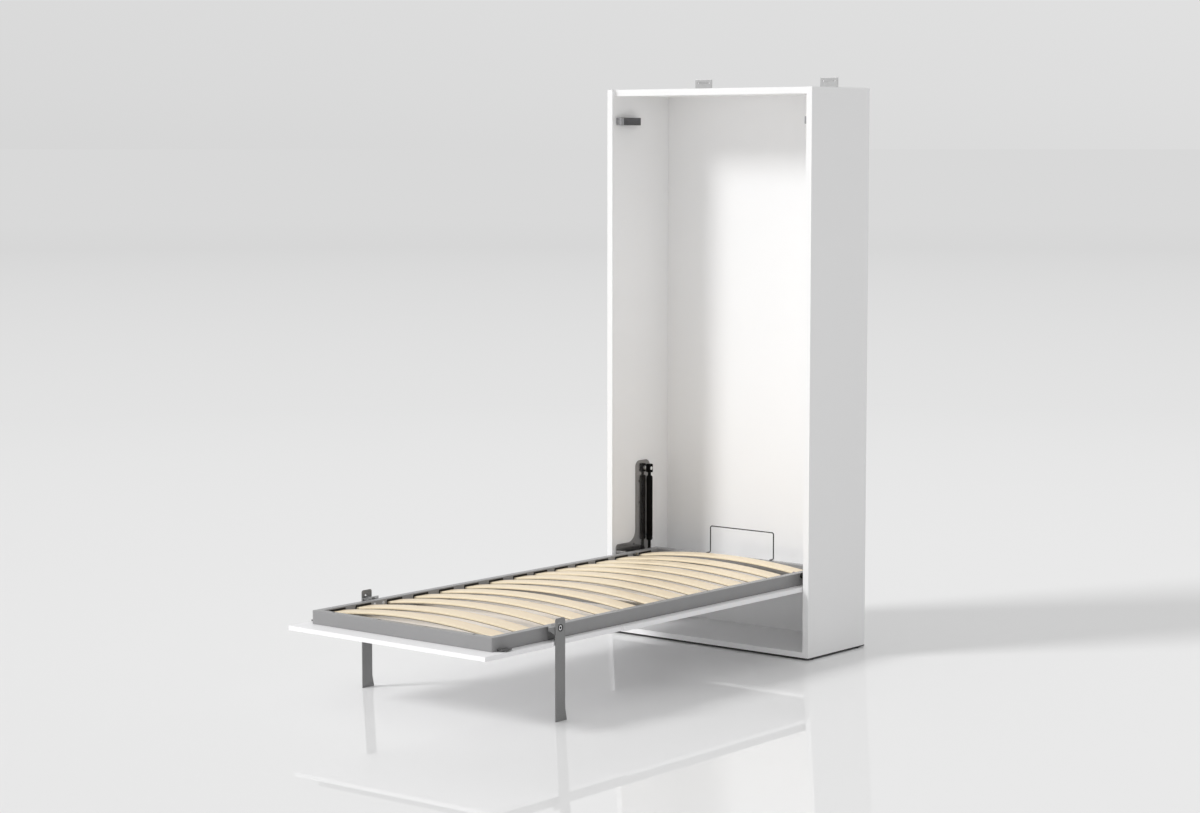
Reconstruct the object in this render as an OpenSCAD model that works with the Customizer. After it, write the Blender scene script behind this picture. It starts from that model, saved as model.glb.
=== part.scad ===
// Vertical wall bed: a tall cabinet whose front panel folds down with a slatted steel bed frame.
// Millimetres. X to the right seen from the front, Y towards the wall, Z up.
// The origin is on the floor, at the middle of the cabinet's back.
// The bed is drawn open. Small letters such as y0 and z0 are low ends, y1 and z1 high ends.

/* [Cabinet] */
// Height over the top board
cabinet_h = 2170; // [2100:1:2300]
// Width over the side panels
cabinet_w = 984; // [960:1:1100]
// Depth from the wall to the front edges
cabinet_d = 385; // [375:1:450]
// Thickness of the sides, the top and the bottom
board_t = 25; // [18:0.5:30]
// Distance of the top board's front behind the sides' front
top_setback = 18; // [17:0.5:30]
// Thickness of the back panel
back_t = 8; // [5:0.5:12]
// Distance from the wall to the back panel
back_recess = 17; // [10:1:22]
// Depth of the groove that holds the back panel
groove_depth = 8; // [4:0.5:12]
// Play of the back panel in its groove, on each side
groove_clear = 0.2; // [0.1:0.05:0.5]
// Height of the floor glides
glide_h = 4; // [3:0.5:10]
// Diameter of a floor glide
glide_d = 20; // [14:1:24]
// Diameter of the nail of a floor glide
glide_nail_d = 3; // [2:0.5:4]
// Length of the nail of a floor glide
glide_nail_l = 15; // [8:1:25]
// Distance of the glides from the cabinet's front and back edges
glide_inset = 40; // [20:1:80]

/* [Cabinet joints] */
// Diameter of a dowel
dowel_d = 8; // [6:1:10]
// Length of a dowel
dowel_l = 30; // [25:1:40]
// Depth of a dowel's hole in a side panel
dowel_side_l = 10; // [8:1:14]
// Distance of the dowels from the front and back edges of a board
dowel_inset = 60; // [50:1:80]
// Diameter of a cam lock
cam_d = 15; // [12:0.5:16]
// Height of a cam lock
cam_h = 12; // [9:0.5:14]
// Distance of a cam lock's centre from the end of its board
cam_set = 34; // [24:1:40]
// Diameter of a cam bolt
cam_bolt_d = 6; // [5:0.5:8]
// Distance of the cam locks from the front and back edges of a board
cam_inset = 95; // [85:1:120]
// Clearance round a fastener in its hole
hole_clear = 0.1; // [0.05:0.05:0.3]

/* [Wall brackets] */
// Distance of each bracket from the middle of the cabinet
bracket_x = 305; // [200:1:380]
// Width of a bracket
bracket_w = 83; // [60:1:110]
// Thickness of a bracket
bracket_t = 3; // [2:0.5:5]
// Height of the upright flange above the top board
bracket_up = 44; // [35:1:70]
// Depth of the flange that lies on the top board
bracket_in = 42; // [35:1:60]
// Diameter of the wall screw holes
bracket_hole_d = 7; // [5:0.5:9]
// Distance between the two wall screw holes
bracket_hole_gap = 54; // [35:1:60]
// Distance of the wall screw holes from the upper edge
bracket_hole_drop = 13; // [8:1:18]
// Diameter of the screws into the top board
bracket_screw_d = 5; // [4:0.5:6]
// Length of those screws below the flange
bracket_screw_l = 16; // [10:1:17]
// Distance between the two screws into the top board
bracket_screw_gap = 44; // [30:1:60]

/* [Fold] */
// Height of the front panel's underside above the floor when the bed is open
open_h = 262; // [240:1:300]
// Distance of the pivot behind the cabinet's front, which makes the closed panel flush
pivot_set = 53; // [48:1:60]
// Diameter of the pivot pin
pivot_d = 12; // [8:0.5:14]
// Radial clearance of every turning or sliding fit
run_clear = 0.06; // [0.02:0.01:0.1]
// Gap between faces that move past each other
side_clear = 0.4; // [0.3:0.05:0.8]

/* [Front panel] */
// Thickness of the front panel
panel_t = 16; // [14:0.5:17]
// Gap from the closed panel's upper edge to the cabinet's top
panel_top_gap = 2; // [0:0.5:6]
// Gap from the closed panel's lower edge to the bottom board
panel_bottom_gap = 7; // [6:0.5:20]
// Gap between a side panel and the front panel's edge
panel_side_gap = 6; // [4:0.5:8]

/* [Bed frame] */
// Gap between a side panel and the bed frame's side rail
frame_side_gap = 43; // [41:0.5:60]
// Distance of the frame's foot end from the panel's foot edge
foot_inset = 77; // [40:1:120]
// Distance of the frame's head end from the panel's head edge
head_inset = 99; // [85:1:110]
// Height of the frame's tubes
rail_h = 48; // [46:0.5:56]
// Width of the frame's tubes
rail_w = 30; // [26:0.5:36]
// Wall of the frame's tubes
tube_wall = 2; // [1.5:0.1:2.5]
// Outer corner radius of the frame's tubes
tube_r = 3; // [2.6:0.1:4]
// Rounding of the frame's four corners in plan
corner_r = 7; // [3:0.5:12]
// Height of the cross tube
cross_h = 20; // [16:0.5:21]
// Distance of the cross tube's middle from the frame's foot end
cross_from_foot = 968; // [900:1:985]

/* [Slats] */
// Width of a slat
slat_w = 70; // [60:1:74]
// Thickness of a slat
slat_t = 10; // [8:0.5:11]
// Rise of a slat's middle above its ends
slat_crown = 28; // [15:1:40]
// Rounding of a slat's long edges
slat_edge_r = 3; // [1:0.5:3.5]
// Height of a slat's ends above the rail's underside
slat_end_h = 26; // [24:0.5:27]
// Length of a slat's end inside the rail
slat_in = 9; // [6:0.5:12]
// Clearance of a slat in its holder
slat_clear = 0.3; // [0.2:0.05:0.6]
// Distance of the first slat's middle from the frame's foot end
slat_first = 97; // [85:1:110]
// Pitch from the first slat to the second
slat_pitch_end = 130; // [110:1:135]
// Pitch across the gap that leaves room for the leg brackets
slat_pitch_leg = 160; // [155:1:165]
// Pitch of the slats in the foot half
slat_pitch_foot = 138; // [130:1:140]
// Least pitch from the foot half to the head half
slat_pitch_least = 100; // [85:1:110]
// Pitch of the slats in the head half
slat_pitch_head = 124; // [115:1:126]
// Number of pitches in the head half
slats_head = 4; // [2:1:5]
// Distance from the pivot to the next slat's middle on its foot side
slat_pivot_foot = 84; // [80:1:90]
// Distance from the pivot to the next slat's middle on its head side
slat_pivot_head = 66; // [60:1:72]

/* [Slat holders] */
// Height of a slot in the rail
slot_h = 20; // [18:0.5:21]
// Height of a slat's end above the lower edge of its slot
slot_below = 4; // [3:0.25:5]
// Wall of a holder beside the slat
holder_wall = 3; // [2:0.25:4]
// Thickness of the holder's lip on the rail
lip_t = 1.5; // [1:0.25:3]
// Width of the holder's lip round the slot
lip_w = 2; // [1:0.25:2.5]
// Play of a holder in its slot
slot_clear = 0.15; // [0.05:0.05:0.3]

/* [Legs] */
// Width of a leg
leg_w = 50; // [40:1:60]
// Thickness of a leg
leg_t = 3; // [2.5:0.5:4]
// Gap between a leg and the cabinet's side when the bed is closed
leg_side_gap = 8.3; // [6:0.1:12]
// Gap between a leg and the bottom of its slot in the front panel
leg_slot_gap = 7.7; // [2:0.1:10]
// Length of the slot beyond the leg on its foot side
leg_slot_foot = 11; // [3:1:20]
// Length of the slot beyond the swinging leg's tip
leg_slot_head = 20; // [3:1:30]
// Distance of the legs' middle from the frame's foot end
leg_from_foot = 308; // [300:1:316]
// Height of a leg's top above its pivot
leg_top = 34; // [30:1:45]
// Depth of the leg's pivot below the rail's top
leg_pivot_drop = 4; // [2:0.5:8]
// Diameter of the leg's pivot bolt
leg_bolt_d = 12; // [8:0.5:14]
// Diameter of the leg bolt's flat head
leg_head_d = 18; // [17:0.5:24]
// Gap round the head of the leg bolt
leg_ring = 1.5; // [0.5:0.25:3]
// Thickness of the leg bolt's flat head
leg_head_t = 1.5; // [1:0.25:1.5]
// Diameter of the hole near a leg's top
leg_hole_d = 8.5; // [4:0.5:9]
// Wall between that hole and the seat of the bolt's head
leg_hole_wall = 1.2; // [1:0.1:3]
// Turn of that hole from above the pivot towards the foot
leg_hole_turn = 24; // [0:1:40]
// Rounding of a leg's upper corners
leg_corner_r = 8; // [3:0.5:12]
// Length of the lip at a leg's foot
leg_lip = 8; // [4:0.5:12]
// Height over which the lip widens
leg_lip_h = 40; // [15:1:60]

/* [Leg brackets] */
// Thickness of a leg bracket's sheet
gusset_t = 3; // [2:0.5:3.5]
// Reach of a leg bracket beyond the leg, on one side of it
gusset_reach = 31; // [20:1:45]
// Height of a leg bracket's blunt end
gusset_tip = 10; // [4:0.5:14]
// Height of a leg bracket's top above the rail's top
gusset_rise = 2; // [0:0.5:5]
// Height of a leg bracket's outer cheek
cheek_h = 28; // [20:1:32]
// Radius of the ear round the leg's pivot
ear_r = 14; // [12:0.5:16]
// Outer diameter of the bracket's boss
leg_boss_d = 22; // [19:0.5:26]
// Distance of each bracket bolt from the leg's pivot, along the rail
bolt_apart = 22; // [20:0.5:24]
// Depth of the bracket bolts below the rail's top
bolt_drop = 14; // [12:0.5:18]
// Diameter of a bracket bolt
bolt_d = 6; // [5:0.5:8]
// Diameter of a bracket bolt's head
bolt_head_d = 13; // [11:0.5:15]
// Height of a bracket bolt's head
bolt_head_h = 3; // [2:0.5:5]

/* [Lift plates] */
// Thickness of a lift plate
plate_t = 4; // [3:0.5:4.5]
// Height of the lift plate's upper end above the pivot
plate_up = 367; // [355:1:400]
// Depth of the lift plate's lower edge below the pivot
plate_down = 30; // [26:1:40]
// Reach of the plate's toe in front of the pivot
plate_toe = 30; // [26:1:34]
// Distance of the plate's rear edge behind the pivot
plate_rear = 185; // [180:1:200]
// Width of the plate's upright arm
plate_arm = 90; // [80:1:100]
// Height of the toe's upper edge above the pivot
plate_toe_h = 39; // [32:1:46]
// Radius of the fillet between the arm and the toe
plate_fillet = 48; // [30:1:55]
// Radius of the plate's outer corners
plate_r = 26; // [18:1:28]
// Diameter of the plate's screws
plate_screw_d = 5; // [4:0.5:6]
// Length of the plate's screws
plate_screw_l = 16; // [12:1:17]
// Diameter of the heads of the plate's screws
plate_head_d = 9; // [8:0.5:11]
// Height of the heads of the plate's screws
plate_head_h = 1.5; // [1:0.25:2]

/* [Gas struts] */
// Diameter of a strut's cylinder
strut_d = 26; // [22:0.5:28]
// Wall of a strut's cylinder
strut_wall = 2.5; // [2:0.25:3]
// Diameter of a strut's rod
rod_d = 12; // [8:0.5:14]
// Gap between a side rail and a strut's cylinder
strut_rail_gap = 8; // [7:0.25:10]
// Distance of the struts behind the pivot when the bed is open
strut_back = 160; // [155:1:165]
// Height of the strut's upper eye above the pivot
strut_up = 333; // [325:1:345]
// Depth of the strut's lower eye below the pivot
strut_down = 15; // [12:0.5:18]
// Length of a strut's cylinder
strut_body_l = 265; // [245:1:275]
// Distance from the upper eye to the cylinder
strut_neck = 30; // [22:1:34]
// Outer diameter of an eye
eye_d = 24; // [18:0.5:26]
// Width of an eye
eye_w = 14; // [10:0.5:16]
// Diameter of the studs in the eyes
stud_d = 10; // [6:0.5:12]
// Diameter of the upper stud's shoulder and head
stud_head_d = 18; // [14:0.5:20]
// Length of the upper stud's head
stud_head_l = 6; // [4:0.5:6]

/* [Catches] */
// Length of a catch
catch_l = 124; // [90:1:140]
// Height of a catch
catch_h = 30; // [26:1:40]
// Depth of a catch from the side panel
catch_w = 26; // [20:0.5:34]
// Length of the magnet block at a catch's front
magnet_l = 19; // [12:0.5:30]
// Gap between the closed strike tab and the magnet
catch_gap = 0.5; // [0.3:0.1:2]
// Distance of the strike tabs' middle from the frame's foot end
tab_from_foot = 45; // [36:1:60]
// Length of a strike tab along the rail
tab_l = 45; // [30:1:60]
// Width of a strike tab
tab_w = 31; // [24:0.5:34]
// Thickness of a strike tab
tab_t = 4; // [3:0.5:5]
// Height of a strike tab's underside above the front panel
tab_rise = 4; // [3.5:0.5:6]
// Diameter of the hole in a strike tab
tab_hole_d = 7; // [4:0.5:10]
// Rounding of a strike tab's corners
tab_r = 8; // [4:0.5:10]

/* [Mattress loop] */
// Width of the loop between the middles of its legs
loop_w = 310; // [250:1:500]
// Height of the loop above the rail's top
loop_up = 110; // [70:1:140]
// Diameter of the loop's wire
loop_d = 5; // [4:0.5:8]
// Distance of the loop's upright part behind the head tube
loop_back = 8.5; // [3:0.5:14]
// Bend radius of the loop's upper corners
loop_r = 12; // [10:0.5:40]
// Bend radius at the loop's feet
loop_foot_r = 9; // [7:0.5:10]

/* [Panel screws] */
// Diameter of the screws that hold the front panel
panel_screw_d = 4; // [3:0.5:5]
// Length of those screws in the panel
panel_screw_l = 12; // [8:0.5:13]
// Diameter of their heads
panel_head_d = 8; // [7:0.5:9]
// Height of their heads
panel_head_h = 3; // [2:0.5:4]
// Diameter of the access holes above them
access_d = 11; // [10:0.5:13]
// Distance of the outer screws from the middle
panel_screw_x = 330; // [250:1:370]

/* [Hidden] */
$fn = 48;
// Overshoot of a cut beyond the face that it opens
cut = 1;
// Width of a nut across its flats, over its bolt's diameter
nut_ratio = 1.6;

// Cabinet
half_w = cabinet_w / 2;
inner_half = half_w - board_t;
front_y = -cabinet_d;
floor_top = glide_h + board_t;
ceiling_z = cabinet_h - board_t;
back_y0 = -back_recess - back_t;
top_front_y = front_y + top_setback;
bracket_screw_y = -bracket_in / 2 - bracket_t / 2;

// Fold
pivot_y = front_y + pivot_set;
pivot_z = open_h + pivot_set;

// Legs, struts and panel side by side, from the side panel inwards
leg_x1 = inner_half - leg_side_gap;
leg_x0 = leg_x1 - leg_t;
panel_half = inner_half - panel_side_gap;
plate_x = inner_half - plate_t;
rail_x1 = inner_half - frame_side_gap;
rail_x0 = rail_x1 - rail_w;
strut_x = rail_x1 + strut_rail_gap + strut_d / 2;

// Pivot: a bush through the rail, with a flange outside, and the nut of the pin inside
bush_wall = 2.5;
bush_flange = 5;
bush_x0 = rail_x0 - 1;
bush_x1 = rail_x1 + 12;
collar_wall = 4;
nut_l = 9;
nut_x1 = bush_x0 - side_clear;

// Front panel
panel_z1 = open_h + panel_t;
panel_foot_y = pivot_y - (cabinet_h - panel_top_gap - pivot_z);
panel_head_y = pivot_y + pivot_z - floor_top - panel_bottom_gap;

// Bed frame
foot_y = panel_foot_y + foot_inset;
head_y = panel_head_y - head_inset;
frame_l = head_y - foot_y;
rail_z0 = panel_z1;
rail_z1 = rail_z0 + rail_h;
cross_y = foot_y + cross_from_foot;

// Slats: the foot half is counted from the legs, the head half from the pivot, and the rest is between
slat_y3 = foot_y + slat_first + slat_pitch_end + slat_pitch_leg;
slat_head_y0 = pivot_y - slat_pivot_foot - slats_head * slat_pitch_head;
slats_foot = floor((slat_head_y0 - slat_y3 - slat_pitch_least) / slat_pitch_foot);
slat_ys = concat(
    [foot_y + slat_first, foot_y + slat_first + slat_pitch_end],
    [for (i = [0:slats_foot]) slat_y3 + i * slat_pitch_foot],
    [for (i = [0:slats_head]) slat_head_y0 + i * slat_pitch_head],
    [pivot_y + slat_pivot_head]
);
slat_count = len(slat_ys);
function slat_y(i) = slat_ys[i - 1];
slat_z = rail_z0 + slat_end_h;
slat_r = (rail_x0 * rail_x0 + slat_crown * slat_crown) / (2 * slat_crown);
slat_arc_z = slat_z + slat_t + slat_crown - slat_r;
slat_half = rail_x0 + slat_in;
slat_angle = asin(slat_half / slat_r);
slot_z0 = slat_z - slot_below;
slot_z1 = slot_z0 + slot_h;
slot_l = slat_w + 2 * holder_wall;
holder_x1 = slat_half + holder_wall;

// Legs
leg_y = foot_y + leg_from_foot;
leg_z = rail_z1 - leg_pivot_drop;
cheek_x1 = leg_x0 - side_clear;
gusset_z1 = rail_z1 + gusset_rise;
bolt_z = rail_z1 - bolt_drop;
leg_tip_r = norm([leg_w / 2 + leg_lip, leg_z]);
leg_hole_r = (leg_head_d + leg_hole_d) / 2 + leg_ring + leg_hole_wall;

// Struts
strut_y = pivot_y + strut_back;
eye_z1 = pivot_z + strut_up;
eye_z0 = pivot_z - strut_down;
body_z1 = eye_z1 - strut_neck;
body_z0 = body_z1 - strut_body_l;
gland_l = 10;
piston_l = 12;
piston_z1 = body_z1 - gland_l - piston_l;
lug_t = 4;
lug_l = 44;
lug_w = 40;
lug_r = 6;
lug_x1 = max(strut_x - eye_w / 2 - side_clear - stud_head_l, rail_x1 + lug_t);

// Catches: the strike tab's top comes to rest just in front of the magnet
tab_y = foot_y + tab_from_foot;
tab_z1 = rail_z0 + tab_rise + tab_t;
catch_y0 = pivot_y + tab_z1 - pivot_z + catch_gap;
catch_z = pivot_z + pivot_y - tab_y;

// Places of the panel screws, as pairs of X and Y, with the tube's height above the panel
screw_rows = [
    [foot_y + rail_w / 2, rail_h, [-1, -1 / 3, 1 / 3, 1]],
    [cross_y, cross_h, [-2 / 3, 2 / 3]],
    [head_y - rail_w / 2, rail_h, [-1, -1 / 3, 1 / 3, 1]]
];

// Places of the lift plate's screws, as Y and Z from the pivot
screw_side = 20;
screw_drop = 85;
screw_row = 87;
screw_toe = 14;
screw_low = 16;
plate_screws = [
    [plate_rear - plate_arm + screw_side, plate_up - screw_drop],
    [plate_rear - plate_arm + screw_side, plate_up - screw_drop - screw_row],
    [plate_rear - plate_arm - screw_toe, plate_toe_h - plate_head_d],
    [plate_rear - screw_side, plate_up - screw_drop],
    [plate_rear - screw_side, -plate_down + screw_low]
];

white = [0.96, 0.96, 0.95];
steel = [0.62, 0.62, 0.62];
dark_steel = [0.48, 0.48, 0.48];
beech = [0.90, 0.82, 0.68];
black = [0.08, 0.08, 0.08];
zinc = [0.75, 0.75, 0.76];

// Helpers

// A block between two opposite corners
module block(a, b) {
    translate(a) cube(b - a);
}

// A rectangle with round corners, centred on the origin
module round_rect(w, h, r) {
    square([w - 2 * r, h], center = true);
    square([w, h - 2 * r], center = true);
    for (x = [-1, 1], y = [-1, 1]) translate([x * (w / 2 - r), y * (h / 2 - r)]) circle(r);
}

// A round bar or bore along X, from x0 to x1
module bar_x(x0, x1, y, z, r) {
    translate([x0, y, z]) rotate([0, 90, 0]) cylinder(r = r, h = x1 - x0);
}

// A hexagonal bar along X, measured across its flats
module hex_x(x0, x1, y, z, flats) {
    translate([x0, y, z]) rotate([0, 90, 0]) cylinder(d = flats / cos(30), h = x1 - x0, $fn = 6);
}

// An outline drawn in Y and Z, given thickness from x0 to x1
module plate_x(x0, x1) {
    translate([x0, 0, 0]) rotate([90, 0, 90]) linear_extrude(x1 - x0) children();
}

// The right-hand piece as drawn, or its mirror image on the left
module on_side(s) {
    mirror([s < 0 ? 1 : 0, 0, 0]) children();
}

module on_both_sides() {
    for (s = [-1, 1]) on_side(s) children();
}

// Cabinet

// Y of a pair of fasteners near the front and the back of a board
function pair_y(y0, inset) = [y0 + inset, -inset];

// Holes in a side panel for the dowels and cam bolts of one board
module side_panel_holes(board_z, board_y0) {
    for (y = pair_y(board_y0, dowel_inset))
        bar_x(inner_half - cut, inner_half + dowel_side_l, y, board_z, dowel_d / 2 + hole_clear);
    for (y = pair_y(board_y0, cam_inset))
        bar_x(inner_half - cut, inner_half + dowel_side_l, y, board_z, cam_bolt_d / 2 + hole_clear);
}

module side_panel() {
    color(white) difference() {
        block([inner_half, front_y, glide_h], [half_w, 0, cabinet_h]);
        block([inner_half - cut, back_y0 - groove_clear, floor_top - groove_depth],
            [inner_half + groove_depth, -back_recess + groove_clear, ceiling_z + groove_depth]);
        side_panel_holes(glide_h + board_t / 2, front_y);
        side_panel_holes(ceiling_z + board_t / 2, top_front_y);
        for (p = plate_screws)
            bar_x(inner_half - cut, plate_x + plate_screw_l, pivot_y + p[0], pivot_z + p[1],
                plate_screw_d / 2 + hole_clear);
        for (y = [front_y + glide_inset, -glide_inset])
            translate([(inner_half + half_w) / 2, y, glide_h - cut])
                cylinder(d = glide_nail_d + 2 * hole_clear, h = glide_nail_l + cut);
    }
}

// A board between the sides, with its cam locks let into the face that nobody sees
module cabinet_board(y0, z0, groove_up, cam_up) {
    zm = z0 + board_t / 2;
    color(white) difference() {
        block([-inner_half, y0, z0], [inner_half, 0, z0 + board_t]);
        block([-half_w, back_y0 - groove_clear, groove_up ? z0 + board_t - groove_depth : z0 - cut],
            [half_w, -back_recess + groove_clear, groove_up ? z0 + board_t + cut : z0 + groove_depth]);
        on_both_sides() {
            for (y = pair_y(y0, dowel_inset))
                bar_x(inner_half - dowel_l + dowel_side_l - hole_clear, inner_half + cut, y, zm,
                    dowel_d / 2 + hole_clear);
            for (y = pair_y(y0, cam_inset)) {
                bar_x(inner_half - cam_set, inner_half + cut, y, zm, cam_bolt_d / 2 + hole_clear);
                translate([inner_half - cam_set, y, cam_up ? z0 + board_t - cam_depth() : z0 - cut])
                    cylinder(d = cam_d + 2 * hole_clear, h = cam_depth() + cut);
            }
        }
    }
}

// Depth of a cam lock's pocket, which ends past the middle of the board
function cam_depth() = board_t / 2 + cam_h / 2;

module top_panel() {
    difference() {
        cabinet_board(top_front_y, ceiling_z, false, true);
        for (s = [-1, 1], x = [-1, 1])
            translate([s * bracket_x + x * bracket_screw_gap / 2, bracket_screw_y,
                cabinet_h - bracket_screw_l - hole_clear])
                cylinder(d = bracket_screw_d + 2 * hole_clear, h = bracket_screw_l + cut);
    }
}

module bottom_panel() {
    cabinet_board(front_y, glide_h, true, false);
}

module back_panel() {
    reach = groove_depth - 2 * groove_clear;
    color(white)
        block([-inner_half - reach, back_y0, floor_top - reach],
            [inner_half + reach, -back_recess, ceiling_z + reach]);
}

module floor_glides() {
    color(black) on_both_sides() for (y = [front_y + glide_inset, -glide_inset])
        translate([(inner_half + half_w) / 2, y, 0]) {
            cylinder(d = glide_d, h = glide_h);
            cylinder(d = glide_nail_d, h = glide_h + glide_nail_l - hole_clear);
        }
}

module dowels() {
    color(beech) on_both_sides() for (b = [[glide_h, front_y], [ceiling_z, top_front_y]])
        for (y = pair_y(b[1], dowel_inset))
            bar_x(inner_half - dowel_l + dowel_side_l, inner_half + dowel_side_l - hole_clear, y,
                b[0] + board_t / 2, dowel_d / 2);
}

// A cam lock is a disc with a slot for the bolt's head
module cam_locks() {
    color(zinc) on_both_sides() for (b = [[glide_h, front_y], [ceiling_z, top_front_y]])
        for (y = pair_y(b[1], cam_inset)) difference() {
            translate([inner_half - cam_set, y, b[0] + board_t / 2 - cam_h / 2])
                cylinder(d = cam_d, h = cam_h);
            bar_x(inner_half - cam_set, inner_half, y, b[0] + board_t / 2, cam_bolt_d / 2 + hole_clear);
        }
}

module cam_bolts() {
    color(zinc) on_both_sides() for (b = [[glide_h, front_y], [ceiling_z, top_front_y]])
        for (y = pair_y(b[1], cam_inset))
            bar_x(inner_half - cam_set + hole_clear, inner_half + dowel_side_l - hole_clear, y,
                b[0] + board_t / 2, cam_bolt_d / 2);
}

// Wall brackets

module wall_bracket() {
    color(zinc) translate([bracket_x, 0, cabinet_h]) difference() {
        union() {
            block([-bracket_w / 2, -bracket_t, 0], [bracket_w / 2, 0, bracket_up]);
            block([-bracket_w / 2, -bracket_in, 0], [bracket_w / 2, 0, bracket_t]);
        }
        for (x = [-1, 1]) {
            translate([x * bracket_hole_gap / 2, cut, bracket_up - bracket_hole_drop])
                rotate([90, 0, 0]) cylinder(d = bracket_hole_d, h = bracket_t + 2 * cut);
            translate([x * bracket_screw_gap / 2, bracket_screw_y, -cut])
                cylinder(d = bracket_screw_d + 2 * hole_clear, h = bracket_t + 2 * cut);
        }
    }
}

// Pan-head screw pointing down, with its head's underside at the origin
module screw_down(d, l, head_d, head_h) {
    difference() {
        union() {
            translate([0, 0, -l]) cylinder(d = d, h = l + head_h / 2);
            cylinder(d1 = head_d, d2 = head_d * 0.8, h = head_h);
        }
        translate([0, 0, head_h * 0.5]) cylinder(d = head_d * 0.4, h = head_h, $fn = 6);
    }
}

module wall_bracket_screws() {
    color(zinc) on_both_sides() for (x = [-1, 1])
        translate([bracket_x + x * bracket_screw_gap / 2, bracket_screw_y, cabinet_h + bracket_t])
            screw_down(bracket_screw_d, bracket_t + bracket_screw_l, bracket_screw_d * 1.8, 3);
}

// Lift plates and pivots

// The plate's outline round the pivot: an arm with a toe, blended by a round fillet
module lift_outline() {
    y0 = -plate_toe;
    y1 = plate_rear;
    arm_y0 = plate_rear - plate_arm;
    low_r = plate_r / 2;
    // Arm with a round upper end
    translate([arm_y0, -plate_down + low_r]) square([plate_arm, plate_up + plate_down - low_r - plate_r]);
    translate([arm_y0 + plate_r, 0]) square([plate_arm - 2 * plate_r, plate_up]);
    for (y = [arm_y0 + plate_r, y1 - plate_r]) translate([y, plate_up - plate_r]) circle(plate_r);
    // Toe with a round nose
    translate([y0, -plate_down + low_r]) square([y1 - y0, plate_toe_h + plate_down - 2 * low_r]);
    translate([y0 + low_r, -plate_down]) square([y1 - y0 - 2 * low_r, plate_toe_h + plate_down]);
    for (y = [y0 + low_r, y1 - low_r]) translate([y, low_r - plate_down]) circle(low_r);
    translate([y0 + low_r, plate_toe_h - low_r]) circle(low_r);
    // Fillet between the toe and the arm
    difference() {
        translate([arm_y0 - plate_fillet, plate_toe_h - cut]) square(plate_fillet + cut);
        translate([arm_y0 - plate_fillet, plate_toe_h + plate_fillet]) circle(plate_fillet);
    }
}

module lift_plate() {
    color(dark_steel) difference() {
        plate_x(plate_x, inner_half) translate([pivot_y, pivot_z]) lift_outline();
        for (p = plate_screws)
            bar_x(plate_x - cut, inner_half + cut, pivot_y + p[0], pivot_z + p[1],
                plate_screw_d / 2 + hole_clear);
        bar_x(plate_x - cut, inner_half + cut, pivot_y, pivot_z, pivot_d / 2 + hole_clear);
        bar_x(plate_x - cut, inner_half + cut, strut_y, eye_z1, stud_d / 2 + hole_clear);
    }
}

module lift_plate_screws() {
    color(zinc) on_both_sides() for (p = plate_screws)
        translate([plate_x, pivot_y + p[0], pivot_z + p[1]]) rotate([0, -90, 0])
            screw_down(plate_screw_d, plate_screw_l - hole_clear, plate_head_d, plate_head_h);
}

// Pin fixed in the plate, with a collar that keeps the rail away and a nut behind the rail
module pivot_pins() {
    color(zinc) on_both_sides() {
        bar_x(nut_x1 - nut_l - 2, inner_half - hole_clear, pivot_y, pivot_z, pivot_d / 2);
        bar_x(bush_x1 + side_clear, plate_x, pivot_y, pivot_z, pivot_d / 2 + collar_wall);
        difference() {
            hex_x(nut_x1 - nut_l, nut_x1, pivot_y, pivot_z, pivot_d * nut_ratio);
            bar_x(nut_x1 - nut_l - cut, nut_x1 + cut, pivot_y, pivot_z, pivot_d / 2 + hole_clear);
        }
    }
}

// Bush through both walls of the rail, with a thick flange outside
module pivot_bushes() {
    color(black) on_both_sides() difference() {
        union() {
            bar_x(bush_x0, bush_x1, pivot_y, pivot_z, pivot_d / 2 + bush_wall);
            bar_x(rail_x1, bush_x1, pivot_y, pivot_z, pivot_d / 2 + bush_flange);
        }
        bar_x(bush_x0 - cut, bush_x1 + cut, pivot_y, pivot_z, pivot_d / 2 + run_clear);
    }
}

// Catches

// Rounded housing, with its groove behind the magnet block
module catch_housing() {
    groove = 2;
    color(steel) difference() {
        translate([inner_half - catch_w / 2, catch_y0 + magnet_l, catch_z]) rotate([-90, 0, 0])
            linear_extrude(catch_l - magnet_l) round_rect(catch_w, catch_h, 2);
        difference() {
            block([inner_half - catch_w - cut, catch_y0 + magnet_l + groove, catch_z - catch_h],
                [inner_half + cut, catch_y0 + magnet_l + 2 * groove, catch_z + catch_h]);
            block([inner_half - catch_w + 1, catch_y0, catch_z - catch_h / 2 + 1],
                [inner_half + 2 * cut, 0, catch_z + catch_h / 2 - 1]);
        }
    }
}

// Magnet block with its two pole plates
module catch_magnets() {
    color(dark_steel) on_both_sides() difference() {
        translate([inner_half - catch_w / 2, catch_y0, catch_z]) rotate([-90, 0, 0])
            linear_extrude(magnet_l) round_rect(catch_w - 2, catch_h - 2, 2);
        for (z = [-1, 1])
            block([inner_half - catch_w + 4, catch_y0 - cut, catch_z + z * catch_h / 4 - 0.75],
                [inner_half - 4, catch_y0 + 1, catch_z + z * catch_h / 4 + 0.75]);
    }
}

// Strike tab welded edge-on to the rail
module strike_tab() {
    color(steel) translate([rail_x1, tab_y, tab_z1 - tab_t]) difference() {
        linear_extrude(tab_t) {
            translate([0, -tab_l / 2]) square([tab_w - tab_r, tab_l]);
            translate([tab_w / 2, 0]) round_rect(tab_w, tab_l, tab_r);
        }
        translate([tab_w * 0.6, 0, -cut]) cylinder(d = tab_hole_d, h = tab_t + 2 * cut);
    }
}

// Bed frame

// The frame's plan with its four round corners
module frame_plan() {
    translate([0, (foot_y + head_y) / 2]) round_rect(2 * rail_x1, frame_l, corner_r);
}

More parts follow.
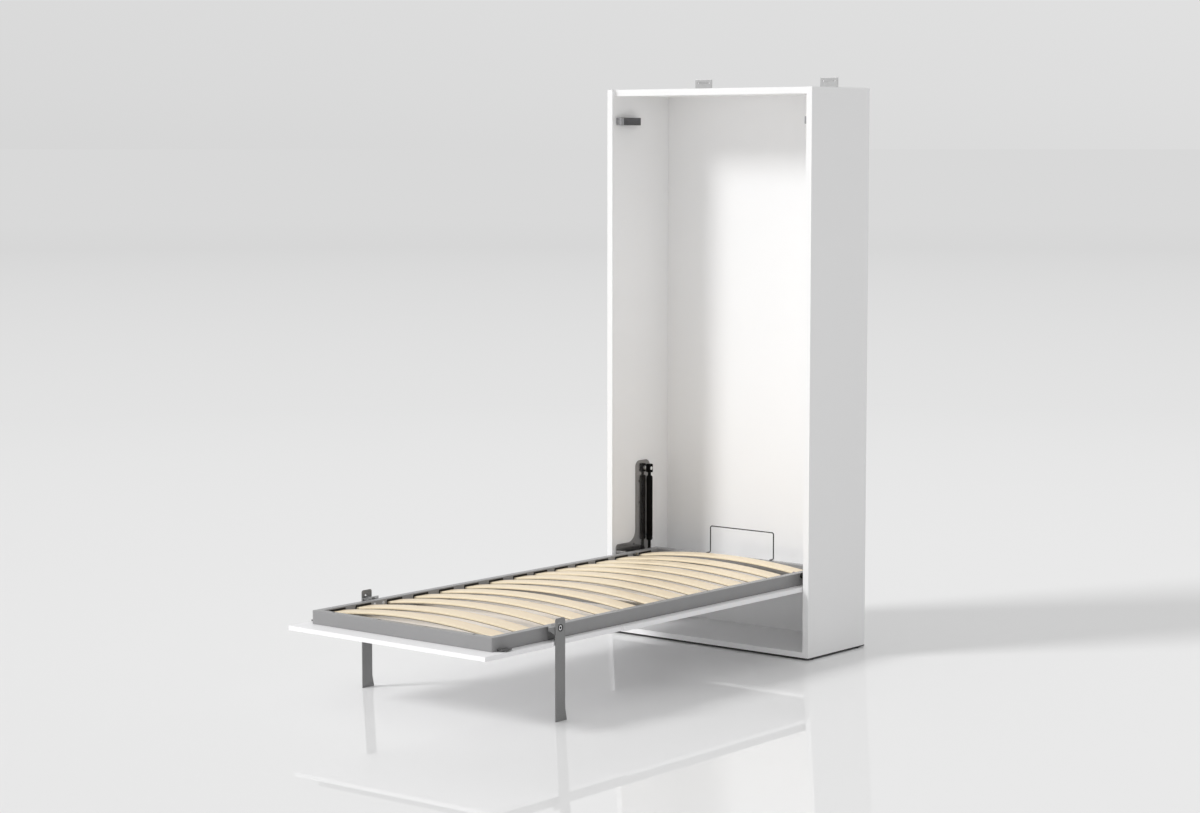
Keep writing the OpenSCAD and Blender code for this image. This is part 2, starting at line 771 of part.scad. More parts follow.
// Hollow tube along +Z, w wide in X and h high in Y
module tube(w, h, l) {
    linear_extrude(l) difference() {
        round_rect(w, h, tube_r);
        round_rect(w - 2 * tube_wall, h - 2 * tube_wall, tube_r - tube_wall);
    }
}

// Only what lies over this plan outline, inside the frame's round corners
module mitre(points) {
    intersection() {
        children();
        translate([0, 0, rail_z0 - cut]) linear_extrude(rail_h + 2 * cut) intersection() {
            polygon(points);
            frame_plan();
        }
    }
}

module side_rail() {
    mitred = [[rail_x1, foot_y], [rail_x1, head_y], [rail_x0, head_y - rail_w], [rail_x0, foot_y + rail_w]];
    color(steel) difference() {
        mitre(mitred)
            translate([(rail_x0 + rail_x1) / 2, foot_y, (rail_z0 + rail_z1) / 2]) rotate([-90, 0, 0])
                tube(rail_w, rail_h, frame_l);
        for (i = [1:slat_count])
            block([rail_x0 - cut, slat_y(i) - slot_l / 2, slot_z0],
                [rail_x0 + tube_wall + cut, slat_y(i) + slot_l / 2, slot_z1]);
        bar_x(rail_x0 - cut, rail_x1 + cut, pivot_y, pivot_z, pivot_d / 2 + bush_wall + hole_clear);
        for (s = [-1, 1])
            bar_x(rail_x0 - cut, rail_x1 + cut, leg_y + s * bolt_apart, bolt_z, bolt_d / 2 + hole_clear);
    }
}

// Holes of one row of panel screws: a small one below and an access hole above
module screw_row_holes(row) {
    for (k = row[2]) translate([k * panel_screw_x, row[0], rail_z0]) {
        translate([0, 0, -cut]) cylinder(d = panel_screw_d + 2 * hole_clear, h = tube_wall + 2 * cut);
        translate([0, 0, row[1] - tube_wall - cut]) cylinder(d = access_d, h = tube_wall + 2 * cut);
    }
}

// Tube across the frame at one end, mitred to meet the rails
module end_tube(y_out, y_in, row) {
    color(steel) difference() {
        mitre([[-rail_x1, y_out], [rail_x1, y_out], [rail_x0, y_in], [-rail_x0, y_in]])
            translate([-rail_x1, (y_out + y_in) / 2, (rail_z0 + rail_z1) / 2])
                rotate([90, 0, 90]) tube(rail_w, rail_h, 2 * rail_x1);
        screw_row_holes(row);
    }
}

module foot_tube() {
    end_tube(foot_y, foot_y + rail_w, screw_rows[0]);
}

module head_tube() {
    end_tube(head_y, head_y - rail_w, screw_rows[2]);
}

module cross_tube() {
    color(steel) difference() {
        translate([-rail_x0, cross_y, rail_z0 + cross_h / 2]) rotate([90, 0, 90])
            tube(rail_w, cross_h, 2 * rail_x0);
        screw_row_holes(screw_rows[1]);
    }
}

// Plate and boss on the rail, beside the strut's lower stud
module strut_lugs() {
    color(steel) on_both_sides() {
        plate_x(rail_x1, rail_x1 + lug_t) translate([strut_y, eye_z0]) round_rect(lug_l, lug_w, lug_r);
        bar_x(rail_x1, lug_x1, strut_y, eye_z0, stud_d);
    }
}

// Board with an open slot in each long edge, through which the leg swings
module front_panel() {
    color(white) difference() {
        block([-panel_half, panel_foot_y, open_h], [panel_half, panel_head_y, panel_z1]);
        on_both_sides()
            block([leg_x0 - leg_slot_gap, leg_y - leg_w / 2 - leg_slot_foot, open_h - cut],
                [panel_half + cut, leg_y + leg_tip_r + leg_slot_head, panel_z1 + cut]);
        for (row = screw_rows, k = row[2])
            translate([k * panel_screw_x, row[0], panel_z1 - panel_screw_l])
                cylinder(d = panel_screw_d + 2 * hole_clear, h = panel_screw_l + cut);
    }
}

module panel_screws() {
    color(zinc) for (row = screw_rows, k = row[2])
        translate([k * panel_screw_x, row[0], rail_z0 + tube_wall])
            screw_down(panel_screw_d, tube_wall + panel_screw_l - hole_clear, panel_head_d, panel_head_h);
}

// Mattress loop

// Quarter turn of the loop's wire, from +X to +Y round +Z
module elbow(r) {
    rotate_extrude(angle = 90) translate([r, 0]) circle(d = loop_d);
}

module mattress_loop() {
    foot_z = rail_z1 + loop_d / 2 + 0.1;
    loop_z = rail_z1 + loop_up - loop_d / 2;
    loop_y = head_y + loop_back;
    foot_l = rail_w / 2 + loop_back - loop_foot_r;
    color(steel) {
        on_both_sides() {
            translate([loop_w / 2, loop_y, foot_z + loop_foot_r])
                cylinder(d = loop_d, h = loop_z - loop_r - foot_z - loop_foot_r);
            translate([loop_w / 2 - loop_r, loop_y, loop_z - loop_r]) rotate([90, 0, 0]) elbow(loop_r);
            translate([loop_w / 2, loop_y - loop_foot_r, foot_z + loop_foot_r])
                rotate([0, 90, 0]) elbow(loop_foot_r);
            translate([loop_w / 2, loop_y - loop_foot_r, foot_z]) rotate([90, 0, 0])
                cylinder(d = loop_d, h = foot_l);
        }
        bar_x(-loop_w / 2 + loop_r, loop_w / 2 - loop_r, loop_y, loop_z, loop_d / 2);
    }
}

// Slats and their holders

// Bent slat: its rounded section turned about the centre of its arc, wider all round by grow
module slat_bend(grow, half_angle) {
    w = slat_w + 2 * grow;
    t = slat_t + 2 * grow;
    rotate([90, 0, 0]) rotate([0, 0, 90 - half_angle])
        rotate_extrude(angle = 2 * half_angle, $fn = 400)
            translate([slat_r - slat_t / 2, 0]) round_rect(t, w, slat_edge_r + grow);
}

module slat(i) {
    color(beech) translate([0, slat_y(i), slat_arc_z]) slat_bend(0, slat_angle);
}

// Holder in the rail's slot, with a lip on the rail and a pocket for the slat's end
module slat_holder(i) {
    hold = slot_l / 2 - slot_clear;
    translate([0, slat_y(i), 0]) difference() {
        union() {
            block([rail_x0, -hold, slot_z0 + slot_clear], [holder_x1, hold, slot_z1 - slot_clear]);
            block([rail_x0 - lip_t, -slot_l / 2 - lip_w, slot_z0 - lip_w],
                [rail_x0, slot_l / 2 + lip_w, slot_z1 + lip_w]);
        }
        translate([0, 0, slat_arc_z]) slat_bend(slat_clear, slat_angle * (1 + 0.5 / slat_half));
    }
}

module slat_holders() {
    color(black) for (i = [1:slat_count]) slat_holder(i);
}

// Legs and their brackets

// Outer cheek of a bracket in Y and Z from the leg's pivot, with one narrower end
module cheek_outline() {
    z1 = gusset_z1 - leg_z;
    half = leg_w / 2;
    z0 = z1 - cheek_h;
    tip = -half - gusset_reach;
    polygon([[tip, z1], [tip, z1 - gusset_tip], [-half, z0], [half, z0], [half, z1]]);
    circle(ear_r);
}

// The same bracket for the left side, turned by half a turn about the upright line between the legs
module turned_round() {
    translate([0, 2 * leg_y, 0]) rotate([0, 0, 180]) children();
}

// Bracket between a rail and its leg: a base, a top flange, a cheek and a boss for the bolt
module leg_bracket() {
    half = leg_w / 2;
    color(dark_steel) translate([0, leg_y, leg_z]) difference() {
        union() {
            block([rail_x1, -half, rail_z0 + 2 - leg_z], [rail_x1 + gusset_t, half, gusset_z1 - leg_z]);
            bracket_flange();
            plate_x(cheek_x1 - gusset_t, cheek_x1) cheek_outline();
            bar_x(rail_x1, cheek_x1, 0, 0, leg_boss_d / 2);
        }
        bar_x(rail_x1 - cut, cheek_x1 + cut, 0, 0, leg_bolt_d / 2 + run_clear);
        for (s = [-1, 1])
            bar_x(rail_x1 - cut, rail_x1 + gusset_t + cut, s * bolt_apart, bolt_z - leg_z,
                bolt_d / 2 + hole_clear);
    }
}

// Top flange, drawn in plan, which widens from the rail to the cheek's narrow end
module bracket_flange() {
    half = leg_w / 2;
    translate([0, 0, gusset_z1 - leg_z - gusset_t]) linear_extrude(gusset_t)
        polygon([[rail_x1, -half], [cheek_x1, -half - gusset_reach], [cheek_x1, half], [rail_x1, half]]);
}

// Button-head bolts from inside the rail, with nuts outside the bracket
module leg_bracket_bolts() {
    nut_t = 5;
    color(zinc) on_both_sides() for (s = [-1, 1]) {
        y = leg_y + s * bolt_apart;
        difference() {
            union() {
                bar_x(rail_x0 - bolt_head_h / 2, rail_x1 + gusset_t + nut_t + 1, y, bolt_z, bolt_d / 2);
                translate([rail_x0, y, bolt_z]) rotate([0, -90, 0])
                    cylinder(d1 = bolt_head_d, d2 = bolt_head_d * 0.6, h = bolt_head_h);
            }
            hex_x(rail_x0 - bolt_head_h - cut, rail_x0 - bolt_head_h / 2, y, bolt_z, bolt_d * 0.65);
        }
        difference() {
            hex_x(rail_x1 + gusset_t, rail_x1 + gusset_t + nut_t, y, bolt_z, bolt_d * nut_ratio);
            bar_x(rail_x1, rail_x1 + gusset_t + nut_t + cut, y, bolt_z, bolt_d / 2 + hole_clear);
        }
    }
}

// Leg bolt: a wide flat head let into the leg, with a hexagon socket
module leg_pivot_bolts() {
    head_x0 = leg_x1 - leg_head_t;
    color(zinc) on_both_sides() difference() {
        union() {
            bar_x(rail_x1 + 2, head_x0 + leg_head_t / 2, leg_y, leg_z, leg_bolt_d / 2);
            bar_x(head_x0 + run_clear, leg_x1, leg_y, leg_z, leg_head_d / 2);
        }
        hex_x(leg_x1 - 5, leg_x1 + cut, leg_y, leg_z, leg_bolt_d * 0.5);
    }
}

// Leg strap in Y and Z from its pivot, with round upper corners and a lip at its foot
module leg_outline() {
    w = leg_w / 2;
    translate([-w, -leg_z]) square([leg_w, leg_z + leg_top - leg_corner_r]);
    translate([-w + leg_corner_r, 0]) square([leg_w - 2 * leg_corner_r, leg_top]);
    for (y = [-1, 1]) translate([y * (w - leg_corner_r), leg_top - leg_corner_r]) circle(leg_corner_r);
    translate([w, -leg_z]) polygon([[-cut, 0], [leg_lip, 0], [leg_lip, leg_lip / 2], [0, leg_lip_h],
        [-cut, leg_lip_h]]);
}

module leg() {
    color(dark_steel) difference() {
        plate_x(leg_x0, leg_x1) translate([leg_y, leg_z]) leg_outline();
        bar_x(leg_x0 - cut, leg_x1 + cut, leg_y, leg_z, leg_bolt_d / 2 + run_clear);
        bar_x(leg_x1 - leg_head_t, leg_x1 + cut, leg_y, leg_z, leg_head_d / 2 + leg_ring);
        bar_x(leg_x0 - cut, leg_x1 + cut, leg_y - leg_hole_r * sin(leg_hole_turn),
            leg_z + leg_hole_r * cos(leg_hole_turn), leg_hole_d / 2);
    }
}

// Gas struts

// Stud fixed in the lift plate: shoulder, journal for the eye, and head
module strut_studs() {
    eye_x0 = strut_x - eye_w / 2 - side_clear;
    eye_x1 = strut_x + eye_w / 2 + side_clear;
    color(zinc) on_both_sides() difference() {
        union() {
            bar_x(eye_x0 - cut, inner_half - hole_clear, strut_y, eye_z1, stud_d / 2);
            bar_x(eye_x1, plate_x, strut_y, eye_z1, stud_head_d / 2);
            bar_x(eye_x0 - stud_head_l, eye_x0, strut_y, eye_z1, stud_head_d / 2);
        }
        hex_x(eye_x0 - stud_head_l - cut, eye_x0 - stud_head_l / 2, strut_y, eye_z1, stud_d * 0.6);
    }
}

// Cylinder with rounded shoulders, turned about its axis, with an eye on a neck
module strut_cylinder() {
    r = strut_d / 2;
    edge = strut_wall;
    l = strut_body_l;
    color(black) difference() {
        union() {
            translate([strut_x, strut_y, body_z0]) rotate_extrude() union() {
                square([r - edge, l]);
                translate([0, edge]) square([r, l - 2 * edge]);
                for (z = [edge, l - edge]) translate([r - edge, z]) circle(edge);
            }
            translate([strut_x, strut_y, body_z1 - cut])
                cylinder(d = rod_d, h = strut_neck - eye_d / 4);
            bar_x(strut_x - eye_w / 2, strut_x + eye_w / 2, strut_y, eye_z1, eye_d / 2);
        }
        translate([strut_x, strut_y, body_z0 + gland_l])
            cylinder(r = r - strut_wall, h = l - 2 * gland_l);
        translate([strut_x, strut_y, body_z0 - cut])
            cylinder(r = rod_d / 2 + run_clear, h = gland_l + 2 * cut);
        bar_x(strut_x - eye_w, strut_x + eye_w, strut_y, eye_z1, stud_d / 2 + run_clear);
    }
}

// Rod with its piston, a flared end and an eye with a stud that points at the rail's lug
module strut_rod() {
    flare = 24;
    color(black) {
        translate([strut_x, strut_y, piston_z1 - piston_l])
            cylinder(r = strut_d / 2 - strut_wall - run_clear, h = piston_l);
        translate([strut_x, strut_y, eye_z0]) cylinder(d = rod_d, h = piston_z1 - piston_l / 2 - eye_z0);
        translate([strut_x, strut_y, eye_z0]) cylinder(d1 = eye_d * 0.9, d2 = rod_d + 1, h = flare);
        bar_x(strut_x - eye_w / 2, strut_x + eye_w / 2, strut_y, eye_z0, eye_d / 2);
        bar_x(lug_x1 + side_clear, strut_x + eye_w / 2 + 3, strut_y, eye_z0, stud_d / 2);
    }
}

on_side(-1) side_panel();  // side_panel_left
on_side(1) side_panel();  // side_panel_right
top_panel();
bottom_panel();
back_panel();
floor_glides();
dowels();
cam_locks();
cam_bolts();
on_side(-1) wall_bracket();  // wall_bracket_left
on_side(1) wall_bracket();  // wall_bracket_right
wall_bracket_screws();
on_side(-1) lift_plate();  // lift_plate_left
on_side(1) lift_plate();  // lift_plate_right
lift_plate_screws();
pivot_pins();
strut_studs();
on_side(-1) catch_housing();  // catch_left
on_side(1) catch_housing();  // catch_right
catch_magnets();
on_side(-1) side_rail();  // side_rail_left
on_side(1) side_rail();  // side_rail_right
foot_tube();
head_tube();
cross_tube();
pivot_bushes();
strut_lugs();
mattress_loop();
on_side(-1) strike_tab();  // strike_tab_left
on_side(1) strike_tab();  // strike_tab_right
on_side(-1) slat_holders();  // slat_holders_left
on_side(1) slat_holders();  // slat_holders_right
front_panel();
panel_screws();
for (i = [1:slat_count]) slat(i);
turned_round() leg_bracket();  // leg_bracket_left
on_side(1) leg_bracket();  // leg_bracket_right
leg_bracket_bolts();
leg_pivot_bolts();
on_side(-1) leg();  // leg_left
on_side(1) leg();  // leg_right
on_side(-1) strut_cylinder();  // strut_cylinder_left
on_side(1) strut_cylinder();  // strut_cylinder_right
on_side(-1) strut_rod();  // strut_rod_left
on_side(1) strut_rod();  // strut_rod_right
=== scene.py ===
"""Wall bed: finishes, fine pieces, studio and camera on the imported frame. Metres, Z up."""
import math

import bpy
import numpy as np
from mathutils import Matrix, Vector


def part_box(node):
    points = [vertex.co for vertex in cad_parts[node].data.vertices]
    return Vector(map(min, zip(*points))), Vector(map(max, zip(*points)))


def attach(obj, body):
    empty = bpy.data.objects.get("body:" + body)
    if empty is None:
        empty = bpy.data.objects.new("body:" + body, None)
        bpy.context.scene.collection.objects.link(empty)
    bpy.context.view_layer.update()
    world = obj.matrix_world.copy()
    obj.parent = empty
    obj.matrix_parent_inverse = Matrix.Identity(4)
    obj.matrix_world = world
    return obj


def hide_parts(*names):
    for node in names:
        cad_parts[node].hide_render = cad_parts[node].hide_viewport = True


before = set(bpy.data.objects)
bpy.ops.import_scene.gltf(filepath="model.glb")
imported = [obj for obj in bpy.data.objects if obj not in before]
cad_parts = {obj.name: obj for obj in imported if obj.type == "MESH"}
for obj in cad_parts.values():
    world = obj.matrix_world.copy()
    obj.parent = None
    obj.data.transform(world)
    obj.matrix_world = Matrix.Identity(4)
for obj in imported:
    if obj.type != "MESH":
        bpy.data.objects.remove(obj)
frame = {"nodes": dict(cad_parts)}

bl_info = {
    "name": "Wall bed",
    "version": (1, 0, 0),
    "blender": (4, 5, 0),
    "location": "View3D > Sidebar > Wall bed",
    "description": "Dresses the wall bed's frame with its finishes and fine pieces",
    "category": "Object",
}

SIDES = ((-1, "left"), (1, "right"))
SLATS = sorted((n for n in frame["nodes"] if n.startswith("slat_") and n[5:].isdigit()),
               key=lambda n: int(n[5:]))
SHARP_ANGLE = math.radians(40)      # Edges that turn by more than this stay sharp, or are rounded by a bevel


# Sizes and colours that a user would change

def metres(name, default, description):
    """Length that a user can change."""
    return bpy.props.FloatProperty(name=name, default=default, min=0.0, unit="LENGTH", precision=4,
                                   description=description)


def colour(name, default, description):
    """Colour that a user can change."""
    return bpy.props.FloatVectorProperty(name=name, default=default, min=0.0, max=1.0, subtype="COLOR",
                                         description=description)


def turn(name, degrees, description):
    """Angle that a user can change."""
    return bpy.props.FloatProperty(name=name, default=math.radians(degrees), subtype="ANGLE",
                                   description=description)


def strength(name, default, description):
    """Strength of a light that a user can change."""
    return bpy.props.FloatProperty(name=name, default=default, min=0.0, description=description)


class WallBedSizes(bpy.types.PropertyGroup):
    """Sizes of the fine pieces."""
    slat_thickness: metres("Slat thickness", 0.010, "Thickness of a bent slat")
    slat_crown: metres("Slat crown", 0.028, "Rise of a slat's middle over its ends at the rails")
    slat_rounding: metres("Slat rounding", 0.003, "Rounding of a slat's long edges")
    ply: metres("Ply", 0.0014, "Thickness of one layer of a slat")
    holder_wall: metres("Holder wall", 0.005, "Width of a slat holder's rim beside the slat")
    loop_wire: metres("Loop wire", 0.0046, "Diameter of the mattress loop's wire")
    loop_bend: metres("Loop bend", 0.008, "Bend radius of the loop's upper corners")
    loop_foot_bend: metres("Loop foot bend", 0.006, "Bend radius at the loop's feet")
    weld: metres("Weld", 0.0022, "Radius of a weld bead")
    board_edge: metres("Board edge", 0.0009, "Rounding of the boards' edges")
    steel_edge: metres("Steel edge", 0.0005, "Rounding of cut steel edges")


class WallBedColours(bpy.types.PropertyGroup):
    """Colours of the finishes, as linear values."""
    board: colour("Board", (0.935, 0.934, 0.935), "White melamine of the cabinet")
    front: colour("Front", (0.97, 0.965, 0.975), "White melamine of the folding front")
    frame: colour("Frame", (0.313, 0.311, 0.314), "Powder coat of the bed frame")
    leg: colour("Legs", (0.252, 0.252, 0.252), "Powder coat of the legs and their brackets")
    tab: colour("Strike tabs", (0.12, 0.12, 0.12), "Dark steel of the strike tabs")
    plate: colour("Lift plates", (0.325, 0.318, 0.31), "Dark glossy metal of the lift plates")
    loop: colour("Mattress loop", (0.04, 0.04, 0.04), "Dark coat of the mattress loop")
    screw: colour("Plate screws", (0.10, 0.10, 0.10), "Dark zinc of the lift plates' screws")
    slat: colour("Slats", (1.0, 0.83, 0.61), "Lacquered beech of the slats")
    slat_dark: colour("Slat grain", (0.95, 0.735, 0.48), "Darker grain of the beech")
    black: colour("Black plastic", (0.012, 0.011, 0.011), "Nylon of the holders, bushes and glides")
    strut: colour("Struts", (0.003, 0.0028, 0.0026), "Black paint of the gas struts")
    zinc: colour("Zinc", (0.62, 0.62, 0.63), "Zinc plating of the fasteners")
    bright: colour("Bright zinc", (0.93, 0.93, 0.94), "Polished zinc of the pivots' fasteners")
    bracket: colour("Wall brackets", (0.49, 0.49, 0.49), "Zinc plated sheet of the wall brackets")
    catch: colour("Catches", (0.10, 0.10, 0.103), "Dark grey plastic of the catches")


class WallBedStudio(bpy.types.PropertyGroup):
    """Light and background."""
    key: strength("Key light", 1.56, "Strength of the key light")
    key_spread: turn("Key spread", 15, "Angle across the key light, which softens its shadows")
    key_side: turn("Key side", 34, "Turn of the key light to the left of the front")
    key_height: turn("Key height", 33.5, "Height of the key light above the floor")
    fill: strength("Fill light", 0.955, "Light from all round")
    floor: colour("Floor", (0.92, 0.92, 0.92), "Pale floor near the bed")


# Meshes from numpy arrays

def grid(rows, columns):
    """Quads between the rows of a grid of points, whose last column is joined to the first."""
    i, j = np.meshgrid(np.arange(rows - 1), np.arange(columns), indexing="ij")
    k = (j + 1) % columns
    return np.stack([i * columns + j, i * columns + k, (i + 1) * columns + k, (i + 1) * columns + j],
                    axis=-1).reshape(-1, 4)


def joined(*values):
    """Arrays that broadcast to one grid, joined with their values side by side on a last axis."""
    return np.stack(np.broadcast_arrays(*values), axis=-1)


def tube_surface(rings):
    """Closed skin of rings of points, shaped rings x points x 3, with a flat cap on both ends."""
    rows, columns = rings.shape[:2]
    faces = grid(rows, columns).tolist()
    faces.append(list(range(columns))[::-1])
    faces.append([(rows - 1) * columns + c for c in range(columns)])
    return outward(rings.reshape(-1, 3), faces)


def ring_surface(rings):
    """Closed skin whose last ring meets the first, such as a band with a hole through it."""
    closed = np.concatenate([rings, rings[:1]])
    columns = rings.shape[1]
    faces = grid(closed.shape[0], columns) % (rings.shape[0] * columns)
    return outward(rings.reshape(-1, 3), faces.tolist())


def outward(points, faces):
    """Turns all faces over where their volume, the sum of a . (b x c) / 6 over triangles, is negative."""
    fans = np.array([(f[0], b, c) for f in faces for b, c in zip(f[1:-1], f[2:])])
    a, b, c = points[fans].transpose(1, 0, 2)
    volume = np.sum(a * np.cross(b, c)) / 6
    return points, faces if volume >= 0 else [f[::-1] for f in faces]


def turned(profile, steps, start, axis):
    """Profile of (distance along the axis, radius) turned about an axis through start.

    A point is start + d * axis + r * (cos t * side + sin t * up), for t round the full circle.
    """
    axis = np.asarray(axis, float)
    side = np.cross(axis, [0.0, 0.0, 1.0] if abs(axis[2]) < 0.9 else [0.0, 1.0, 0.0])
    side /= np.linalg.norm(side)
    up = np.cross(axis, side)
    t = np.linspace(0, 2 * np.pi, steps, endpoint=False)
    circle = np.cos(t)[:, None] * side + np.sin(t)[:, None] * up
    profile = np.asarray(profile, float)
    return (np.asarray(start, float) + profile[:, 0][:, None, None] * axis
            + profile[:, 1][:, None, None] * circle[None])


def swept(path, radius, steps):
    """Round wire along a path: each ring is path + radius * (cos t * side + sin t * up), square to the path.

    The radius is one number or one per point, and side is carried along the path without twist.
    """
    path = np.asarray(path, float)
    ahead = np.gradient(path, axis=0)
    ahead /= np.linalg.norm(ahead, axis=1)[:, None]
    side = np.cross(ahead[0], [0.31, 0.17, 0.93])       # Any line that no wire here starts along
    sides = []
    for a in ahead:
        side = side - np.dot(side, a) * a
        side = side / np.linalg.norm(side)
        sides.append(side)
    sides = np.array(sides)
    ups = np.cross(ahead, sides)
    t = np.linspace(0, 2 * np.pi, steps, endpoint=False)
    r = np.broadcast_to(np.asarray(radius, float), (len(path),))
    return path[:, None] + r[:, None, None] * (np.cos(t)[None, :, None] * sides[:, None]
                                               + np.sin(t)[None, :, None] * ups[:, None])


def rounded_rectangle(width, height, radius, per_corner=7):
    """Outline of a rectangle with round corners, as points anticlockwise from the right-hand lower corner.

    Each corner is radius * (cos a, sin a) about its centre, a quarter turn each.
    """
    corners = []
    for q, (sx, sy) in enumerate(((1, -1), (1, 1), (-1, 1), (-1, -1))):
        a = np.linspace(-np.pi / 2, 0, per_corner) + q * np.pi / 2
        corners.append(np.stack([sx * (width / 2 - radius) + radius * np.cos(a),
                                 sy * (height / 2 - radius) + radius * np.sin(a)], axis=1))
    return np.concatenate(corners)


def bend(start, corner, end, radius, steps=10):
    """Round bend at a corner: points of the circle that touches both straights.

    A point is middle + (sin((1 - t) * total) * first + sin(t * total) * last) / sin(total), where first and
    last lead from the circle's middle to where it touches, total is the angle between them, and t is 0 to 1.
    """
    start, corner, end = (np.asarray(p, float) for p in (start, corner, end))
    a = (start - corner) / np.linalg.norm(start - corner)
    b = (end - corner) / np.linalg.norm(end - corner)
    half = np.arccos(np.clip(np.dot(a, b), -1, 1)) / 2
    middle = corner + (a + b) / np.linalg.norm(a + b) * radius / np.sin(half)
    first = corner + a * radius / np.tan(half) - middle
    last = corner + b * radius / np.tan(half) - middle
    total = np.arccos(np.clip(np.dot(first, last) / radius ** 2, -1, 1))
    t = np.linspace(0, 1, steps)[:, None]
    return middle + (np.sin((1 - t) * total) * first + np.sin(t * total) * last) / np.sin(total)


def make_piece(name, parts, material, body, replaced=(), maps=None):
    """One object from (points, faces) parts, on its body and the nodes it stands for.

    Maps gives UV maps by name, as one pair of numbers for each point.
    """
    points, faces, offset = [], [], 0
    for p, f in parts:
        points.append(np.asarray(p))
        faces += [[v + offset for v in face] for face in f]
        offset += len(p)
    mesh = bpy.data.meshes.new(name)
    mesh.from_pydata(np.concatenate(points).tolist(), [], faces)
    for map_name, values in (maps or {}).items():
        layer = mesh.uv_layers.new(name=map_name)
        loops = np.empty(len(mesh.loops), dtype=np.int32)
        mesh.loops.foreach_get("vertex_index", loops)
        layer.data.foreach_set("uv", np.asarray(values)[loops].astype(np.float32).ravel())
    mesh.shade_smooth()
    mesh.set_sharp_from_angle(angle=SHARP_ANGLE)
    mesh.materials.append(material)
    mesh.validate()
    piece = bpy.data.objects.new(name, mesh)
    bpy.context.scene.collection.objects.link(piece)
    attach(piece, body)
    if replaced:
        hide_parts(*replaced)


# Materials

FINE_RELIEF = 0.0002                # Full height of the finishes' fine textures
# Painted shadow: a dark line at the foot of every board, where the gap under the cabinet lies in shade
PAINTED_SHADOW_HEIGHT = 0.0085                # Height of the dark line at the boards' feet
PAINTED_SHADOW_COLOUR = (0.02, 0.02, 0.02)
SOCKET_COLOUR = (0.01, 0.01, 0.01)  # Shadow in a bolt's hexagon socket
STEEL_COLOUR = (0.42, 0.42, 0.43)   # Bare steel of the magnets
MERGE_DISTANCE = 0.00002            # Points of a CAD node that lie nearer than this are one point


class Nodes:
    """Small helper that adds nodes to a tree and joins them."""

    def __init__(self, tree):
        self.tree = tree
        tree.nodes.clear()

    def add(self, kind, **inputs):
        """New node; a key names one of its settings, or else a socket, with _ for a space."""
        node = self.tree.nodes.new(kind)
        for key, value in inputs.items():
            if hasattr(node, key):
                setattr(node, key, value)
            else:
                self.give(node.inputs[key.replace("_", " ")], value)
        return node

    def give(self, socket, value):
        """Joins another node's output to a socket, or sets the socket to a number or colour."""
        if isinstance(value, bpy.types.NodeSocket):
            self.tree.links.new(value, socket)
        else:
            socket.default_value = value

    def ramp(self, factor, stops):
        """Grey ramp with stops as (position, grey)."""
        node = self.add("ShaderNodeValToRGB", Fac=factor)
        elements = node.color_ramp.elements
        while len(elements) < len(stops):
            elements.new(1.0)
        for element, (position, value) in zip(elements, stops):
            element.position = position
            element.color = (value, value, value, 1)
        return node.outputs["Color"]

    def math(self, operation, a, b=None, clamp=False):
        """Result of an operation on one or two numbers or outputs."""
        node = self.add("ShaderNodeMath", operation=operation, use_clamp=clamp)
        self.give(node.inputs[0], a)
        if b is not None:
            self.give(node.inputs[1], b)
        return node.outputs[0]

    def parts(self, vector):
        """X, Y and Z of a vector."""
        return self.add("ShaderNodeSeparateXYZ", Vector=vector).outputs

    def noise(self, vector, scale, detail=2.0, roughness=0.5):
        """Noise with about scale cells to each metre of the vector."""
        return self.add("ShaderNodeTexNoise", Vector=vector, Scale=scale, Detail=detail,
                        Roughness=roughness).outputs["Fac"]

    def stretch(self, vector, scale, location=(0, 0, 0)):
        """Place times scale, then moved by location."""
        return self.add("ShaderNodeMapping", Vector=vector, Scale=scale, Location=location).outputs["Vector"]

    def mix(self, factor, a, b, blend="MIX"):
        """Mix of two colours: a where the factor is 0, b where it is 1."""
        node = self.add("ShaderNodeMix", data_type="RGBA", blend_type=blend)
        for number, value in ((0, factor), (6, a), (7, b)):
            plain = isinstance(value, (bpy.types.NodeSocket, float))
            self.give(node.inputs[number], value if plain else (*value, 1))
        return node.outputs[2]

    def between(self, value, low, high):
        """Number from low to high, as value goes from 0 to 1."""
        return self.add("ShaderNodeMapRange", Value=value, To_Min=low, To_Max=high).outputs["Result"]

    def length(self, vector):
        """Length of a vector."""
        node = self.add("ShaderNodeVectorMath", operation="LENGTH")
        self.give(node.inputs[0], vector)
        return node.outputs["Value"]

    def blended(self, factor, a, b):
        """Shader between two others: a where the factor is 0, b where it is 1."""
        node = self.add("ShaderNodeMixShader")
        for socket, value in zip(node.inputs, (factor, a, b)):
            self.give(socket, value)
        return node.outputs[0]


def shade(rgb, factor):
    """Lighter or darker colour."""
    return tuple(min(1.0, c * factor) for c in rgb)


def linear(value):
    """Linear light of a display value from 0 to 255."""
    v = value / 255
    return v / 12.92 if v <= 0.04045 else ((v + 0.055) / 1.055) ** 2.4


def new_material(name):
    """Material, its nodes, its surface shader's sockets and its Object coordinates."""
    material = bpy.data.materials.new(name)
    material.use_nodes = True
    nodes = Nodes(material.node_tree)
    surface = nodes.add("ShaderNodeBsdfPrincipled")
    nodes.add("ShaderNodeOutputMaterial", Surface=surface.outputs["BSDF"])
    place = nodes.add("ShaderNodeTexCoord").outputs["Object"]
    return material, nodes, surface.inputs, place


def bumpy(nodes, surface, height, strength, relief=FINE_RELIEF):
    """Bump from a height that goes from 0 to 1 and stands for relief metres."""
    bump = nodes.add("ShaderNodeBump", Strength=strength, Distance=relief, Height=height)
    nodes.give(surface["Normal"], bump.outputs["Normal"])


